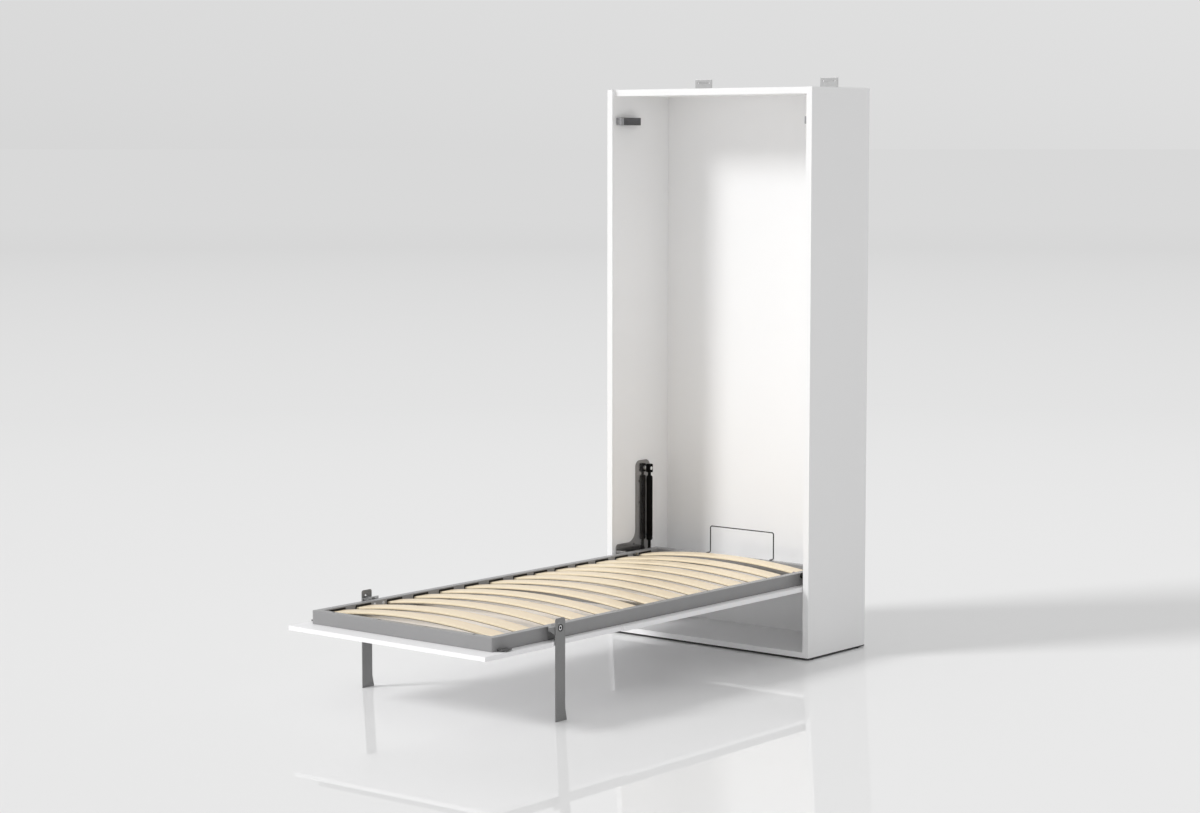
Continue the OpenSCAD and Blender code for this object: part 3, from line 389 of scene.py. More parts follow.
def melamine(name, rgb):
    """White faced board: fine even pores under a satin film, slight clouds, and a painted shadow line at the
    floor.
    """
    material, nodes, surface, place = new_material(name)
    clouds = nodes.noise(place, 2.2, 3.0)
    pores = nodes.noise(place, 900.0)
    tone = nodes.mix(clouds, shade(rgb, 0.992), shade(rgb, 1.006))
    tone = nodes.mix(nodes.between(pores, 0.0, 0.05), tone, shade(rgb, 0.96))
    # Painted shadow: the lowest few millimetres of the boards are darkened, as in the shaded gap under the
    # cabinet
    painted_shadow = nodes.math("LESS_THAN", nodes.parts(place)[2], PAINTED_SHADOW_HEIGHT)
    nodes.give(surface["Base Color"], nodes.mix(painted_shadow, tone, PAINTED_SHADOW_COLOUR))
    nodes.give(surface["Roughness"], nodes.between(nodes.noise(place, 60.0, 3.0), 0.34, 0.46))
    nodes.give(surface["IOR"], 1.48)
    nodes.give(surface["Specular IOR Level"], 0.35)
    bumpy(nodes, surface, pores, 0.06)
    return material


def powder_coat(name, rgb, rough=0.27, peel=0.10, metal=0.0):
    """Powder coat: the fine ripple of baked powder, with tiny lighter specks and a satin gloss."""
    material, nodes, surface, place = new_material(name)
    ripple = nodes.noise(place, 700.0, 3.0, 0.6)
    patches = nodes.noise(place, 9.0)
    tone = nodes.mix(patches, shade(rgb, 0.95), shade(rgb, 1.05))
    specks = nodes.ramp(nodes.noise(place, 1600.0, 1.0), ((0.60, 0.0), (0.78, 1.0)))
    tone = nodes.mix(nodes.math("MULTIPLY", specks, 0.35), tone, shade(rgb, 1.5))
    nodes.give(surface["Base Color"], tone)
    nodes.give(surface["Roughness"], nodes.between(ripple, rough - 0.06, rough + 0.08))
    nodes.give(surface["Specular IOR Level"], 0.3)
    nodes.give(surface["Metallic"], metal)
    bumpy(nodes, surface, ripple, peel)
    return material


def nylon(name, rgb, rough=0.48):
    """Moulded plastic with a fine spark-eroded texture."""
    material, nodes, surface, place = new_material(name)
    cells = nodes.add("ShaderNodeTexVoronoi", Vector=place, Scale=1100.0).outputs["Distance"]
    patches = nodes.noise(place, 30.0)
    nodes.give(surface["Base Color"], nodes.mix(patches, shade(rgb, 0.8), shade(rgb, 1.3)))
    nodes.give(surface["Roughness"], nodes.between(patches, rough - 0.05, rough + 0.07))
    nodes.give(surface["Specular IOR Level"], 0.2)
    bumpy(nodes, surface, cells, 0.25)
    return material


def plated(name, rgb, rough=0.32, stretch=(1, 1, 1), shaded_recess=None, inside=None):
    """Zinc plating or bare steel: cloudy crystals in the metal and fine drawn lines.

    A recess (y, z, radius) gets a painted shadow, near black, in the socket round an axis along X; inside
    gets painted shade on what is nearer to the middle than that distance along X.
    """
    material, nodes, surface, place = new_material(name)
    clouds = nodes.noise(place, 160.0, 3.0, 0.6)
    lines = nodes.noise(nodes.stretch(place, stretch), 900.0)
    tone = nodes.mix(clouds, shade(rgb, 0.82), shade(rgb, 1.12))
    if shaded_recess:
        y, z, radius = shaded_recess
        off = nodes.length(nodes.stretch(place, (0, 1, 1), (0, -y, -z)))
        # Painted shadow: near black within the socket's radius round the bolt's axis
        tone = nodes.mix(nodes.math("LESS_THAN", off, radius), tone, SOCKET_COLOUR)
    if inside:
        across = nodes.math("ABSOLUTE", nodes.parts(place)[0])
        # Painted shade: darkened to a fifth where nearer to the middle than inside
        tone = nodes.mix(nodes.math("LESS_THAN", across, inside), tone, shade(rgb, 0.2))
    nodes.give(surface["Base Color"], tone)
    nodes.give(surface["Roughness"], nodes.between(lines, rough - 0.08, rough + 0.14))
    nodes.give(surface["Metallic"], 1.0)
    bumpy(nodes, surface, lines, 0.12)
    return material


def strut_paint(name, rgb):
    """Black stove enamel on the struts, smooth and fairly glossy, with faint rings along the axis."""
    material, nodes, surface, place = new_material(name)
    rings = nodes.noise(nodes.stretch(place, (0.05, 0.05, 1.0)), 500.0)
    nodes.give(surface["Base Color"], nodes.mix(rings, shade(rgb, 0.7), shade(rgb, 1.6)))
    nodes.give(surface["Roughness"], nodes.between(rings, 0.34, 0.44))
    nodes.give(surface["Specular IOR Level"], 0.06)
    bumpy(nodes, surface, rings, 0.05)
    return material


def beech(name, light, dark, ply):
    """Lacquered beech plywood on the slat's own maps.

    Map "grain" holds metres along and round the slat: long streaks, a broad figure and short dark flecks.
    Map "layers" holds metres through the thickness and 1 on the long edges: bands one ply thick with dark
    glue lines, and painted shade on the lowest two plies of the long edges, where the slat's underside is
    shaded.
    """
    material, nodes, surface, _ = new_material(name)
    grain = nodes.add("ShaderNodeUVMap", uv_map="grain").outputs["UV"]
    layers = nodes.add("ShaderNodeUVMap", uv_map="layers").outputs["UV"]
    streaks = nodes.noise(nodes.stretch(grain, (6.0, 420.0, 1.0)), 1.0, 4.0, 0.6)
    figure = nodes.add("ShaderNodeTexWave", Vector=nodes.stretch(grain, (0.7, 26.0, 1.0)), Scale=1.3,
                       Distortion=6.0, Detail=2.0, Detail_Scale=1.2, bands_direction="Y").outputs["Fac"]
    flecks = nodes.ramp(nodes.noise(nodes.stretch(grain, (260.0, 2400.0, 1.0)), 1.0, 1.0),
                        ((0.64, 0.0), (0.74, 1.0)))
    tone = nodes.mix(nodes.noise(nodes.stretch(grain, (0.35, 0.0, 1.0)), 1.0, 1.0), shade(light, 0.94),
                     shade(light, 1.05))
    tone = nodes.mix(nodes.between(streaks, 0.0, 0.36), tone, dark)
    tone = nodes.mix(nodes.between(figure, 0.0, 0.16), tone, dark)
    tone = nodes.mix(nodes.math("MULTIPLY", flecks, 0.45), tone, shade(dark, 0.72))
    depth, on_edge, _ = nodes.parts(layers)
    plies = nodes.math("DIVIDE", depth, ply)
    odd = nodes.math("MODULO", nodes.math("FLOOR", plies), 2.0)
    cut = nodes.mix(odd, shade(light, 1.10), shade(light, 0.96))
    glue = nodes.math("LESS_THAN", nodes.math("FRACT", plies), 0.12)
    cut = nodes.mix(nodes.math("MULTIPLY", glue, 0.35), cut, shade(dark, 0.6))
    tone = nodes.mix(nodes.math("MULTIPLY", on_edge, 0.8), tone, cut)
    # Painted shade: the lowest two plies of the long edges are darkened, as under the slat
    painted_underside_shade = nodes.math("MULTIPLY", nodes.math("LESS_THAN", depth, 2.2 * ply), on_edge)
    tone = nodes.mix(nodes.math("MULTIPLY", painted_underside_shade, 0.92), tone, shade(dark, 0.20))
    nodes.give(surface["Base Color"], tone)
    nodes.give(surface["Roughness"], nodes.between(streaks, 0.30, 0.46))
    nodes.give(surface["Coat Weight"], 0.15)
    nodes.give(surface["Coat Roughness"], 0.25)
    bumpy(nodes, surface, streaks, 0.10, 0.0003)
    return material


def plain_wood(name, light, dark):
    """Small turned beech pieces, with grain along X."""
    material, nodes, surface, place = new_material(name)
    streaks = nodes.noise(nodes.stretch(place, (12.0, 420.0, 420.0)), 1.0, 3.0)
    nodes.give(surface["Base Color"], nodes.mix(streaks, light, dark))
    nodes.give(surface["Roughness"], nodes.between(streaks, 0.55, 0.7))
    return material


def dress(material, names, edge=0.0):
    """Gives CAD nodes their material, and rounds their sharp edges with a bevel on the merged triangles."""
    for name in names:
        node = frame["nodes"][name]
        node.data.materials.clear()
        node.data.materials.append(material)
        if edge:
            weld = node.modifiers.new("Merge", "WELD")
            weld.merge_threshold = MERGE_DISTANCE
            bevel = node.modifiers.new("Edges", "BEVEL")
            bevel.width = edge
            bevel.segments = 2
            bevel.limit_method = "ANGLE"
            bevel.angle_limit = SHARP_ANGLE


# Operators

SLAT_RINGS = 81                     # Rings of points along a slat
GRAIN_SHIFT = 3.7                   # Metres of grain between one slat's pattern and the next one's
WIRE_STEP = 0.006                   # Longest piece of the loop's wire between two rings
# Radius of the painted shadow in a leg bolt's hexagon socket, below
SOCKET_SHADOW_RADIUS = 0.0052              # Hexagon socket of a leg bolt
STRUT_EYE = 0.012                   # Outer radius of a strut's eyes
STRUT_NECK = 0.030                  # From the cylinder's end to the upper eye's middle
STRUT_HOUSING = (0.0095, 0.0115, 0.0175)    # Half sizes of the block round the upper eye
STUD_BORE = 0.0052                  # Radius of the eyes' bores
STUD_RADIUS = 0.005                 # Radius of the studs in them


def chosen(context):
    """Sizes and colours that the user has chosen."""
    return context.scene.wall_bed_sizes, context.scene.wall_bed_colours


class MakeCabinet(bpy.types.Operator):
    """White boards of the cabinet and the folding front."""
    bl_idname = "wallbed.cabinet"
    bl_label = "Boards"

    def execute(self, context):
        sizes, colours = chosen(context)
        dress(melamine("White melamine", colours.board),
              ("side_panel_left", "side_panel_right", "top_panel", "bottom_panel", "back_panel"),
              sizes.board_edge)
        dress(melamine("White front", colours.front), ("front_panel",), sizes.board_edge)
        return {"FINISHED"}


class MakeSteel(bpy.types.Operator):
    """Powder coated steel: frame tubes, tabs, lugs, lift plates, legs and their brackets."""
    bl_idname = "wallbed.steel"
    bl_label = "Coated steel"

    def execute(self, context):
        sizes, colours = chosen(context)
        coat = powder_coat("Grey powder coat", colours.frame)
        dress(coat, ("side_rail_left", "side_rail_right", "foot_tube", "head_tube", "cross_tube"))
        dress(coat, ("strut_lugs",), sizes.steel_edge)
        dress(powder_coat("Tab coat", colours.tab), ("strike_tab_left", "strike_tab_right"),
              sizes.steel_edge)
        dress(powder_coat("Leg powder coat", colours.leg),
              ("leg_left", "leg_right", "leg_bracket_left", "leg_bracket_right"), sizes.steel_edge)
        dress(powder_coat("Plate coat", colours.plate, rough=0.16, peel=0.03, metal=0.9),
              ("lift_plate_left", "lift_plate_right"), sizes.steel_edge)
        return {"FINISHED"}


class MakeFasteners(bpy.types.Operator):
    """Zinc plated fasteners, wall brackets, dowels and small plastic parts."""
    bl_idname = "wallbed.fasteners"
    bl_label = "Fasteners"

    def execute(self, context):
        sizes, colours = chosen(context)
        dress(plated("Zinc plating", colours.zinc),
              ("cam_locks", "cam_bolts", "panel_screws", "leg_bracket_bolts"))
        dress(plated("Bright zinc", colours.bright, 0.3), ("wall_bracket_screws",))
        # Painted shade on the pivot pins' ends that stand inside the rails
        inside_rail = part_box("side_rail_right")[0].x + 0.001
        dress(plated("Pivot zinc", colours.bright, 0.2, inside=inside_rail), ("pivot_pins",))
        # Painted shadow in the leg bolts' hexagon sockets
        y, z, _ = leg_bolt()
        dress(plated("Bolt zinc", colours.bright, 0.3, shaded_recess=(y, z, SOCKET_SHADOW_RADIUS)), ("leg_pivot_bolts",))
        dress(plated("Dark zinc", colours.screw, 0.35), ("lift_plate_screws",))
        dress(plated("Zinc plated sheet", colours.bracket, 0.42, (1.0, 0.1, 1.0)),
              ("wall_bracket_left", "wall_bracket_right"), sizes.steel_edge)
        dress(nylon("Black nylon", colours.black), ("floor_glides", "pivot_bushes"))
        dress(nylon("Grey catch plastic", colours.catch, 0.4), ("catch_left", "catch_right"),
              sizes.steel_edge)
        dress(plated("Bare steel", STEEL_COLOUR, 0.35), ("catch_magnets",))
        dress(plain_wood("Plain beech", colours.slat, colours.slat_dark), ("dowels",))
        return {"FINISHED"}


def leg_bolt():
    """Y and Z of the leg bolts' axis, and their heads' radius."""
    low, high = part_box("leg_pivot_bolts")
    return (low.y + high.y) / 2, (low.z + high.z) / 2, (high.z - low.z) / 2


def slat_arc(sizes, top, rail):
    """Radius and centre height of a slat's arc, from its crown over half the rails' distance.

    The radius is (h * h + c * c) / (2 * c) for half span h and crown c, and the arc's top is the slat's top.
    """
    radius = (rail * rail + sizes.slat_crown ** 2) / (2 * sizes.slat_crown)
    return radius, top - radius


class MakeSlats(bpy.types.Operator):
    """Bent beech slats, each a rounded section carried along an arc.

    A point is (r * sin a, y, centre + r * cos a) for the angle a along the arc; r and y follow the section.
    """
    bl_idname = "wallbed.slats"
    bl_label = "Slats"

    def execute(self, context):
        sizes, colours = chosen(context)
        material = beech("Bent beech", colours.slat, colours.slat_dark, sizes.ply)
        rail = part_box("side_rail_right")[0].x
        thick, rounding = sizes.slat_thickness, sizes.slat_rounding
        for number, node in enumerate(SLATS):
            low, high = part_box(node)
            radius, centre = slat_arc(sizes, high.z, rail)
            width = high.y - low.y
            section = rounded_rectangle(width, thick, rounding)
            across, rise = section.T
            half = math.asin(high.x / radius)
            angle = np.linspace(-half, half, SLAT_RINGS)[:, None]
            r = radius - thick / 2 + rise
            rings = joined(r * np.sin(angle), (low.y + high.y) / 2 + across, centre + r * np.cos(angle))
            along = angle * radius + number * GRAIN_SHIFT
            around = np.concatenate([[0], np.cumsum(np.linalg.norm(np.diff(section, axis=0), axis=1))])
            on_edge = (np.abs(across) > width / 2 - rounding * 0.98).astype(float)
            maps = {"grain": joined(along, around).reshape(-1, 2),
                    "layers": joined(rise + thick / 2 + 0 * angle, on_edge).reshape(-1, 2)}
            make_piece(f"bent_{node}", [tube_surface(rings)], material, "bed", (node,), maps)
        return {"FINISHED"}


class MakeHolders(bpy.types.Operator):
    """Slat holders: a moulded mouth with a raised rim, carried round the slat's end."""
    bl_idname = "wallbed.holders"
    bl_label = "Slat holders"

    def execute(self, context):
        sizes, colours = chosen(context)
        material = nylon("Holder nylon", colours.black, 0.42)
        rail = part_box("side_rail_right")[0].x
        for s, side in SIDES:
            low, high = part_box(f"slat_holders_{side}")
            deep = max(abs(low.x), abs(high.x))
            parts = []
            for node in SLATS:
                slat_low, slat_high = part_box(node)
                parts.append(holder_skin(s, (slat_low.y + slat_high.y) / 2, slat_high.y - slat_low.y,
                                         sizes.slat_thickness, slat_arc(sizes, slat_high.z, rail), rail,
                                         (low.z, high.z), deep, sizes.holder_wall))
            make_piece(f"holder_rims_{side}", parts, material, "bed",
                       (f"slat_holders_{side}",))
        return {"FINISHED"}


def holder_skin(s, y, width, thick, arc, rail, heights, deep, wall):
    """Skin of one holder, as rings round the slat from the pocket's floor out over the rim and back inside.

    A ring is a rounded rectangle in Y and Z at one X. The pocket's rings follow the slat's arc,
    z = centre + sqrt(r * r - x * x), and the rim's rings grow and shrink as its rounding needs.
    """
    radius, centre = arc

    def middle(x):
        return centre + math.sqrt((radius - thick / 2) ** 2 - x * x)

    def ring(x, w, h, z, r):
        outline = rounded_rectangle(w, h, r, 6)
        return joined(s * x, y + outline[:, 0], z + outline[:, 1])

    slot = middle(rail)
    rim_z, rim_h, rim_w = sum(heights) / 2, heights[1] - heights[0], width + 2 * wall
    gap = 0.0003                # Air round the slat in the pocket
    proud = 0.0015              # How far the rim stands in front of the rail
    skirt = 0.0043              # How much smaller the body in the rail's slot is than the rim
    return tube_surface(np.array([
        # Pocket, and its rounded mouth
        ring(deep - 0.003, width + 2 * gap, thick + 2 * gap, middle(deep - 0.003), 0.003),
        ring(rail + 0.001, width + 2 * gap, thick + 2 * gap, slot, 0.003),
        ring(rail - 0.0006, width + 3 * gap, thick + 4 * gap, slot, 0.0035),
        ring(rail - 0.0012, width + 0.0022, thick + 0.0024, slot, 0.004),
        ring(rail - proud, width + 0.004, thick + 0.004, (slot + rim_z) / 2, 0.004),
        # Rim's face, rounding and back
        ring(rail - proud, rim_w - 0.0016, rim_h - 0.0016, rim_z, 0.0025),
        ring(rail - 0.0012, rim_w - 0.0006, rim_h - 0.0006, rim_z, 0.003),
        ring(rail - 0.0006, rim_w, rim_h, rim_z, 0.003),
        ring(rail + 0.00002, rim_w, rim_h, rim_z, 0.003),
        # Body in the rail's slot
        ring(rail + 0.00002, rim_w - skirt, rim_h - skirt, rim_z, 0.001),
        ring(deep - 0.0005, rim_w - skirt, rim_h - skirt, rim_z, 0.001),
        ring(deep, rim_w - skirt - 0.001, rim_h - skirt - 0.001, rim_z, 0.001)]))


class MakeLoop(bpy.types.Operator):
    """Mattress loop: one round wire with four bends, welded to the head tube."""
    bl_idname = "wallbed.loop"
    bl_label = "Mattress loop"

    def execute(self, context):
        sizes, colours = chosen(context)
        material = powder_coat("Loop powder coat", colours.loop)
        low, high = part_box("mattress_loop")
        r = sizes.loop_wire / 2
        x, y, top, foot = high.x - r, high.y - r, high.z - r, low.z + r
        corners = [(x, low.y, foot), (x, y, foot), (x, y, top),
                   (-x, y, top), (-x, y, foot), (-x, low.y, foot)]
        radii = (sizes.loop_foot_bend, sizes.loop_bend, sizes.loop_bend, sizes.loop_foot_bend)
        bends = [bend(*corners[i:i + 3], radius) for i, radius in enumerate(radii)]
        path = np.concatenate([corners[:1], *bends, corners[-1:]])
        parts = [tube_surface(swept(fine(path, WIRE_STEP), r, 20))]
        tube_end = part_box("head_tube")[1].y
        z = foot - r * 0.75
        for s, _ in SIDES:
            for e in (-1, 1):
                side = s * (x + e * r * 0.8)
                parts.append(bead((side, low.y + 0.001, z), (side, tube_end - 0.003, z), sizes.weld * 0.6))
        make_piece("mattress_loop_wire", parts, material, "bed", ("mattress_loop",))
        return {"FINISHED"}


def fine(path, step):
    """Adds points to a path so that none of its straights is longer than step."""
    out = [path[0]]
    for a, b in zip(path[:-1], path[1:]):
        count = max(1, int(np.ceil(np.linalg.norm(b - a) / step)))
        out += [a + (b - a) * k / count for k in range(1, count + 1)]
    return np.array(out)


def bead(start, end, radius):
    """Weld bead between two points: a wire with a rippled radius, thin at its ends.

    The radius is multiplied by 1 + depth * cos(2 * pi * length / pitch) and by sqrt(1 - (2 * t - 1) ** 6).
    """
    depth, pitch, step = 0.12, 0.0024, 0.0009
    start, end = np.asarray(start, float), np.asarray(end, float)
    length = np.linalg.norm(end - start)
    t = np.linspace(0, 1, max(8, int(length / step)))
    ripple = 1 + depth * np.cos(t * length / pitch * 2 * np.pi)
    ends = np.sqrt(np.clip(1 - (2 * t - 1) ** 6, 0.02, 1))
    return tube_surface(swept(start + (end - start) * t[:, None], radius * ripple * ends, 8))


class MakeWelds(bpy.types.Operator):
    """Weld beads of the frame: cross tube, strike tabs and the inner corners."""
    bl_idname = "wallbed.welds"
    bl_label = "Welds"

    def execute(self, context):
        sizes, colours = chosen(context)
        material = powder_coat("Weld powder coat", colours.frame, 0.3, 0.2)
        r = sizes.weld
        rail_low, rail_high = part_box("side_rail_right")
        cross_low, cross_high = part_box("cross_tube")
        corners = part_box("foot_tube")[1].y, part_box("head_tube")[0].y
        over = cross_high.z + r * 0.1
        parts = []
        for s, side in SIDES:
            inner = s * (rail_low.x - r * 0.3)
            parts.append(bead((inner, cross_low.y, over), (inner, cross_high.y, over), r))
            for y in (cross_low.y, cross_high.y):
                parts.append(bead((inner, y, cross_low.z + 0.003), (inner, y, cross_high.z - 0.002), r))
            tab_low, tab_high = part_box(f"strike_tab_{side}")
            outer, tab_over = s * (rail_high.x + r * 0.3), tab_high.z + r * 0.1
            parts.append(bead((outer, tab_low.y + 0.003, tab_over), (outer, tab_high.y - 0.003, tab_over),
                              r * 0.8))
            for y in corners:
                parts.append(bead((inner, y, rail_low.z + 0.003), (inner, y, rail_high.z - 0.003), r * 0.9))
        make_piece("weld_beads", parts, material, "bed")
        return {"FINISHED"}


class MakeWashers(bpy.types.Operator):
    """Black nylon rings in the gap round the leg bolts' heads."""
    bl_idname = "wallbed.washers"
    bl_label = "Leg washers"

    def execute(self, context):
        _, colours = chosen(context)
        material = nylon("Washer nylon", colours.black, 0.5)
        y, z, head = leg_bolt()
        inner, outer, proud, behind = head + 0.0001, head + 0.0032, 0.0015, 0.0013
        profile = [(-behind, inner), (proud - 0.0003, inner), (proud, inner + 0.0003),
                   (proud, outer - 0.0005), (proud - 0.0003, outer), (0.0001, outer),
                   (0.0001, inner + behind), (-behind, inner + behind)]
        parts = []
        for s, side in SIDES:
            low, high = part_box(f"leg_{side}")
            face = max(abs(low.x), abs(high.x))
            parts.append(ring_surface(turned(profile, 48, (s * face, y, z), (s, 0, 0))))
        make_piece("leg_washers", parts, material, "bed")
        return {"FINISHED"}


class MakeStruts(bpy.types.Operator):
    """Gas struts: cylinder with rolled ends, housing round the upper stud, rod with a flared end and eye."""
    bl_idname = "wallbed.struts"
    bl_label = "Gas struts"

    def execute(self, context):
        _, colours = chosen(context)
        material = strut_paint("Strut enamel", colours.strut)
        studs = []
        for s, side in SIDES:
            low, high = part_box(f"strut_cylinder_{side}")
            x, y, upper = (low.x + high.x) / 2, (low.y + high.y) / 2, high.z - STRUT_EYE
            parts = [strut_tube(x, y, low.z, upper - STRUT_NECK, (high.y - low.y) / 2),
                     housing(x, y, upper, STRUT_HOUSING, STUD_BORE)]
            make_piece(f"strut_tube_{side}", parts, material, f"{side}_strut",
                       (f"strut_cylinder_{side}",))
            plate_low, plate_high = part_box(f"lift_plate_{side}")
            reach = min(abs(plate_low.x), abs(plate_high.x)) - abs(x)
            studs.append(upper_stud(x, y, upper, reach, s))
            bottom = low.z
            low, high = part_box(f"strut_rod_{side}")
            lower = low.z + STRUT_EYE
            inner, outer = (low.x, high.x) if s > 0 else (high.x, low.x)
            parts = [strut_rod(x, y, lower, bottom), eye_ring(x, y, lower, STRUT_EYE, STUD_BORE, 0.007),
                     lower_stud(inner, y, lower, abs(outer - inner), s)]
            make_piece(f"strut_piston_rod_{side}", parts, material, f"{side}_rod",
                       (f"strut_rod_{side}",))
        make_piece("strut_stud_pins", studs, plated("Stud zinc", colours.bright, 0.3), "cabinet",
                   ("strut_studs",))
        return {"FINISHED"}


def strut_tube(x, y, bottom, top, r):
    """Cylinder with rolled ends and a neck: a profile of (height above bottom, radius), turned."""
    length, neck = top - bottom, 0.0062
    profile = [(0.0, 0.0065), (0.0, r - 0.006), (0.0008, r - 0.0035), (0.0025, r - 0.0012),
               (0.006, r - 0.0002), (0.009, r), (0.0125, r), (0.0135, r - 0.0008), (0.0150, r - 0.0008),
               (0.016, r),
               (length - 0.010, r), (length - 0.006, r - 0.0003), (length - 0.0025, r - 0.0015),
               (length - 0.0008, r - 0.0045), (length, r - 0.0065),
               (length + 0.0002, 0.0065), (length + 0.006, neck),
               (length + STRUT_NECK - STRUT_EYE * 0.75, neck),
               (length + STRUT_NECK - STRUT_EYE * 0.55, 0.005)]
    return tube_surface(turned(profile, 48, (x, y, bottom), (0, 0, 1)))


def strut_rod(x, y, lower, bottom):
    """Rod with a flared end, up into the cylinder: a profile of (height above the eye, radius), turned."""
    rod, flare = 0.006, 0.0104
    profile = [(STRUT_EYE * 0.4, 0.0088), (STRUT_EYE * 0.8, flare), (0.0125, flare), (0.020, 0.0078),
               (0.0245, 0.0068), (0.0255, rod), (bottom - lower + 0.02, rod)]
    return tube_surface(turned(profile, 40, (x, y, lower), (0, 0, 1)))


def upper_stud(x, y, z, reach, s):
    """Stud from the upper housing to the lift plate: a profile of (distance from the eye, radius), turned."""
    face = STRUT_HOUSING[0] + 0.0005
    profile = [(-face - 0.0012, 0.0056), (-face - 0.0010, 0.0066), (-face - 0.0004, 0.0070), (-face, 0.0068),
               (-face, STUD_RADIUS), (face, STUD_RADIUS), (face, 0.0085), (reach, 0.0085)]
    return tube_surface(turned(profile, 40, (x, y, z), (s, 0, 0)))


def lower_stud(x, y, z, span, s):
    """Stud through the lower eye: a profile of (distance from its tip, radius), turned."""
    head = 0.0068
    profile = [(0.0, 0.0038), (0.0008, 0.0047), (0.0016, STUD_RADIUS), (span - 0.0026, STUD_RADIUS),
               (span - 0.0026, head), (span - 0.0006, head), (span, 0.0060)]
    return tube_surface(turned(profile, 32, (x, y, z), (s, 0, 0)))


def housing(x, y, z, half, bore):
    """Block with rounded outline and a bore along X, as rings from the bore out over both faces.

    The outline's radius at angle t is (|cos t / b| ** 6 + |sin t / c| ** 6) ** (-1 / 6) for halves b and c.
    """
    t = np.linspace(0, 2 * np.pi, 64, endpoint=False)
    a, b, c = half
    outline = (np.abs(np.cos(t) / b) ** 6 + np.abs(np.sin(t) / c) ** 6) ** (-1 / 6)
    rings = ((-a, bore), (-a, outline - 0.0012), (-a + 0.0004, outline - 0.0004), (-a + 0.0012, outline),
             (a - 0.0012, outline), (a - 0.0004, outline - 0.0004), (a, outline - 0.0012), (a, bore))
    return ring_surface(np.array([joined(x + d, y + r * np.cos(t), z + r * np.sin(t)) for d, r in rings]))


def eye_ring(x, y, z, outer, inner, half):
    """Barrel-shaped eye along X: a rounded profile of (x, radius) turned about the stud's axis."""
    c, bevel = 0.0012, 0.0006
    profile = [(-half, inner + bevel), (-half, outer - c), (-half + c * 0.4, outer - c * 0.3),
               (-half + c, outer), (half - c, outer), (half - c * 0.4, outer - c * 0.3), (half, outer - c),
               (half, inner + bevel), (half - bevel, inner), (-half + bevel, inner)]
    return ring_surface(turned(profile, 48, (x, y, z), (1, 0, 0)))


LENS = 80.24                        # Focal length in millimetres on a sensor of 36 mm
CAMERA_PLACE = (6.24697, -8.63542, 1.94312)
CAMERA_DOWN = math.radians(5.53)    # Below the horizon
CAMERA_TURN = math.radians(39.4)    # To the right of the front
LEAN = (0.0134, 0.026)              # Rise of the floor's polish per metre along X and Y
POLISH = 0.21                       # Share of the mirror in the floor
FLOOR_RANGE = 60.0                  # Distance from the middle over which the floor's far tints are spread


class MakeStage(bpy.types.Operator):
    """Pale glossy floor, background, light from all round, one soft key light and the camera."""
    bl_idname = "wallbed.stage"
    bl_label = "Studio"

    def execute(self, context):
        scene = context.scene
        studio = scene.wall_bed_studio
        make_floor(scene, floor_material(studio.floor))
        background(scene, studio.fill)
        lamp = bpy.data.lights.new("key", "SUN")
        lamp.energy = studio.key
        lamp.angle = studio.key_spread
        key = bpy.data.objects.new("key", lamp)
        key.rotation_euler = (math.pi / 2 - studio.key_height, 0, -studio.key_side)
        scene.collection.objects.link(key)
        lens = bpy.data.cameras.new("camera")
        lens.lens = LENS
        lens.sensor_width = 36.0
        lens.sensor_fit = "HORIZONTAL"
        lens.clip_start = 0.1
        lens.clip_end = 5000.0
        camera = bpy.data.objects.new("camera", lens)
        camera.location = CAMERA_PLACE
        camera.rotation_euler = (math.pi / 2 - CAMERA_DOWN, 0, CAMERA_TURN)
        scene.collection.objects.link(camera)
        scene.camera = camera
        scene.view_settings.view_transform = "Standard"
        return {"FINISHED"}


def make_floor(scene, material):
    """Round floor: rings of points (r * cos a, r * sin a, 0) whose radii r grow by a constant factor."""
    radii = np.concatenate([[0.001], np.geomspace(0.5, 3000.0, 40)])[:, None]
    angle = np.linspace(0, 2 * np.pi, 96, endpoint=False)
    points = joined(radii * np.cos(angle), radii * np.sin(angle), 0.0).reshape(-1, 3)
    mesh = bpy.data.meshes.new("floor")
    mesh.from_pydata(points.tolist(), [], grid(len(radii), len(angle)).tolist() + [list(range(len(angle)))])
    mesh.materials.append(material)
    floor = bpy.data.objects.new("floor", mesh)
    scene.collection.objects.link(floor)


def floor_material(rgb):
    """Glossy pale floor that keeps the shadows near the bed and passes into the background far away.

    The bump on LEAN tilts the polish, which leans the reflections slightly.
    The share of plain background grows with the distance from the middle, for what the camera sees directly.
    """
    material = bpy.data.materials.new("Pale floor")
    material.use_nodes = True
    nodes = Nodes(material.node_tree)
    place = nodes.add("ShaderNodeTexCoord").outputs["Object"]
    matt = nodes.add("ShaderNodeBsdfPrincipled", Base_Color=(*rgb, 1), Roughness=1.0, Specular_IOR_Level=0.0)
    x, y, _ = nodes.parts(place)
    rise = nodes.math("ADD", nodes.math("MULTIPLY", x, LEAN[0]), nodes.math("MULTIPLY", y, LEAN[1]))
    tilt = nodes.add("ShaderNodeBump", Strength=1.0, Distance=1.0, Height=rise)
    polish = nodes.add("ShaderNodeBsdfAnisotropic", Color=(1, 1, 1, 1), Roughness=0.004,
                       Normal=tilt.outputs["Normal"])
    lit = nodes.blended(POLISH, matt.outputs["BSDF"], polish.outputs[0])
    far = nodes.math("DIVIDE", nodes.length(place), FLOOR_RANGE, clamp=True)
    tint = nodes.ramp(far, ((0.0, linear(232)), (0.035, linear(231)), (0.16, linear(227)),
                            (0.36, linear(222)), (0.70, linear(215)), (1.0, linear(217))))
    share = nodes.math("MULTIPLY", nodes.ramp(far, ((0.045, 0.0), (0.16, 1.0))),
                       nodes.add("ShaderNodeLightPath").outputs["Is Camera Ray"])
    glow = nodes.add("ShaderNodeEmission", Color=tint).outputs[0]
    nodes.add("ShaderNodeOutputMaterial", Surface=nodes.blended(share, lit, glow))
    return material


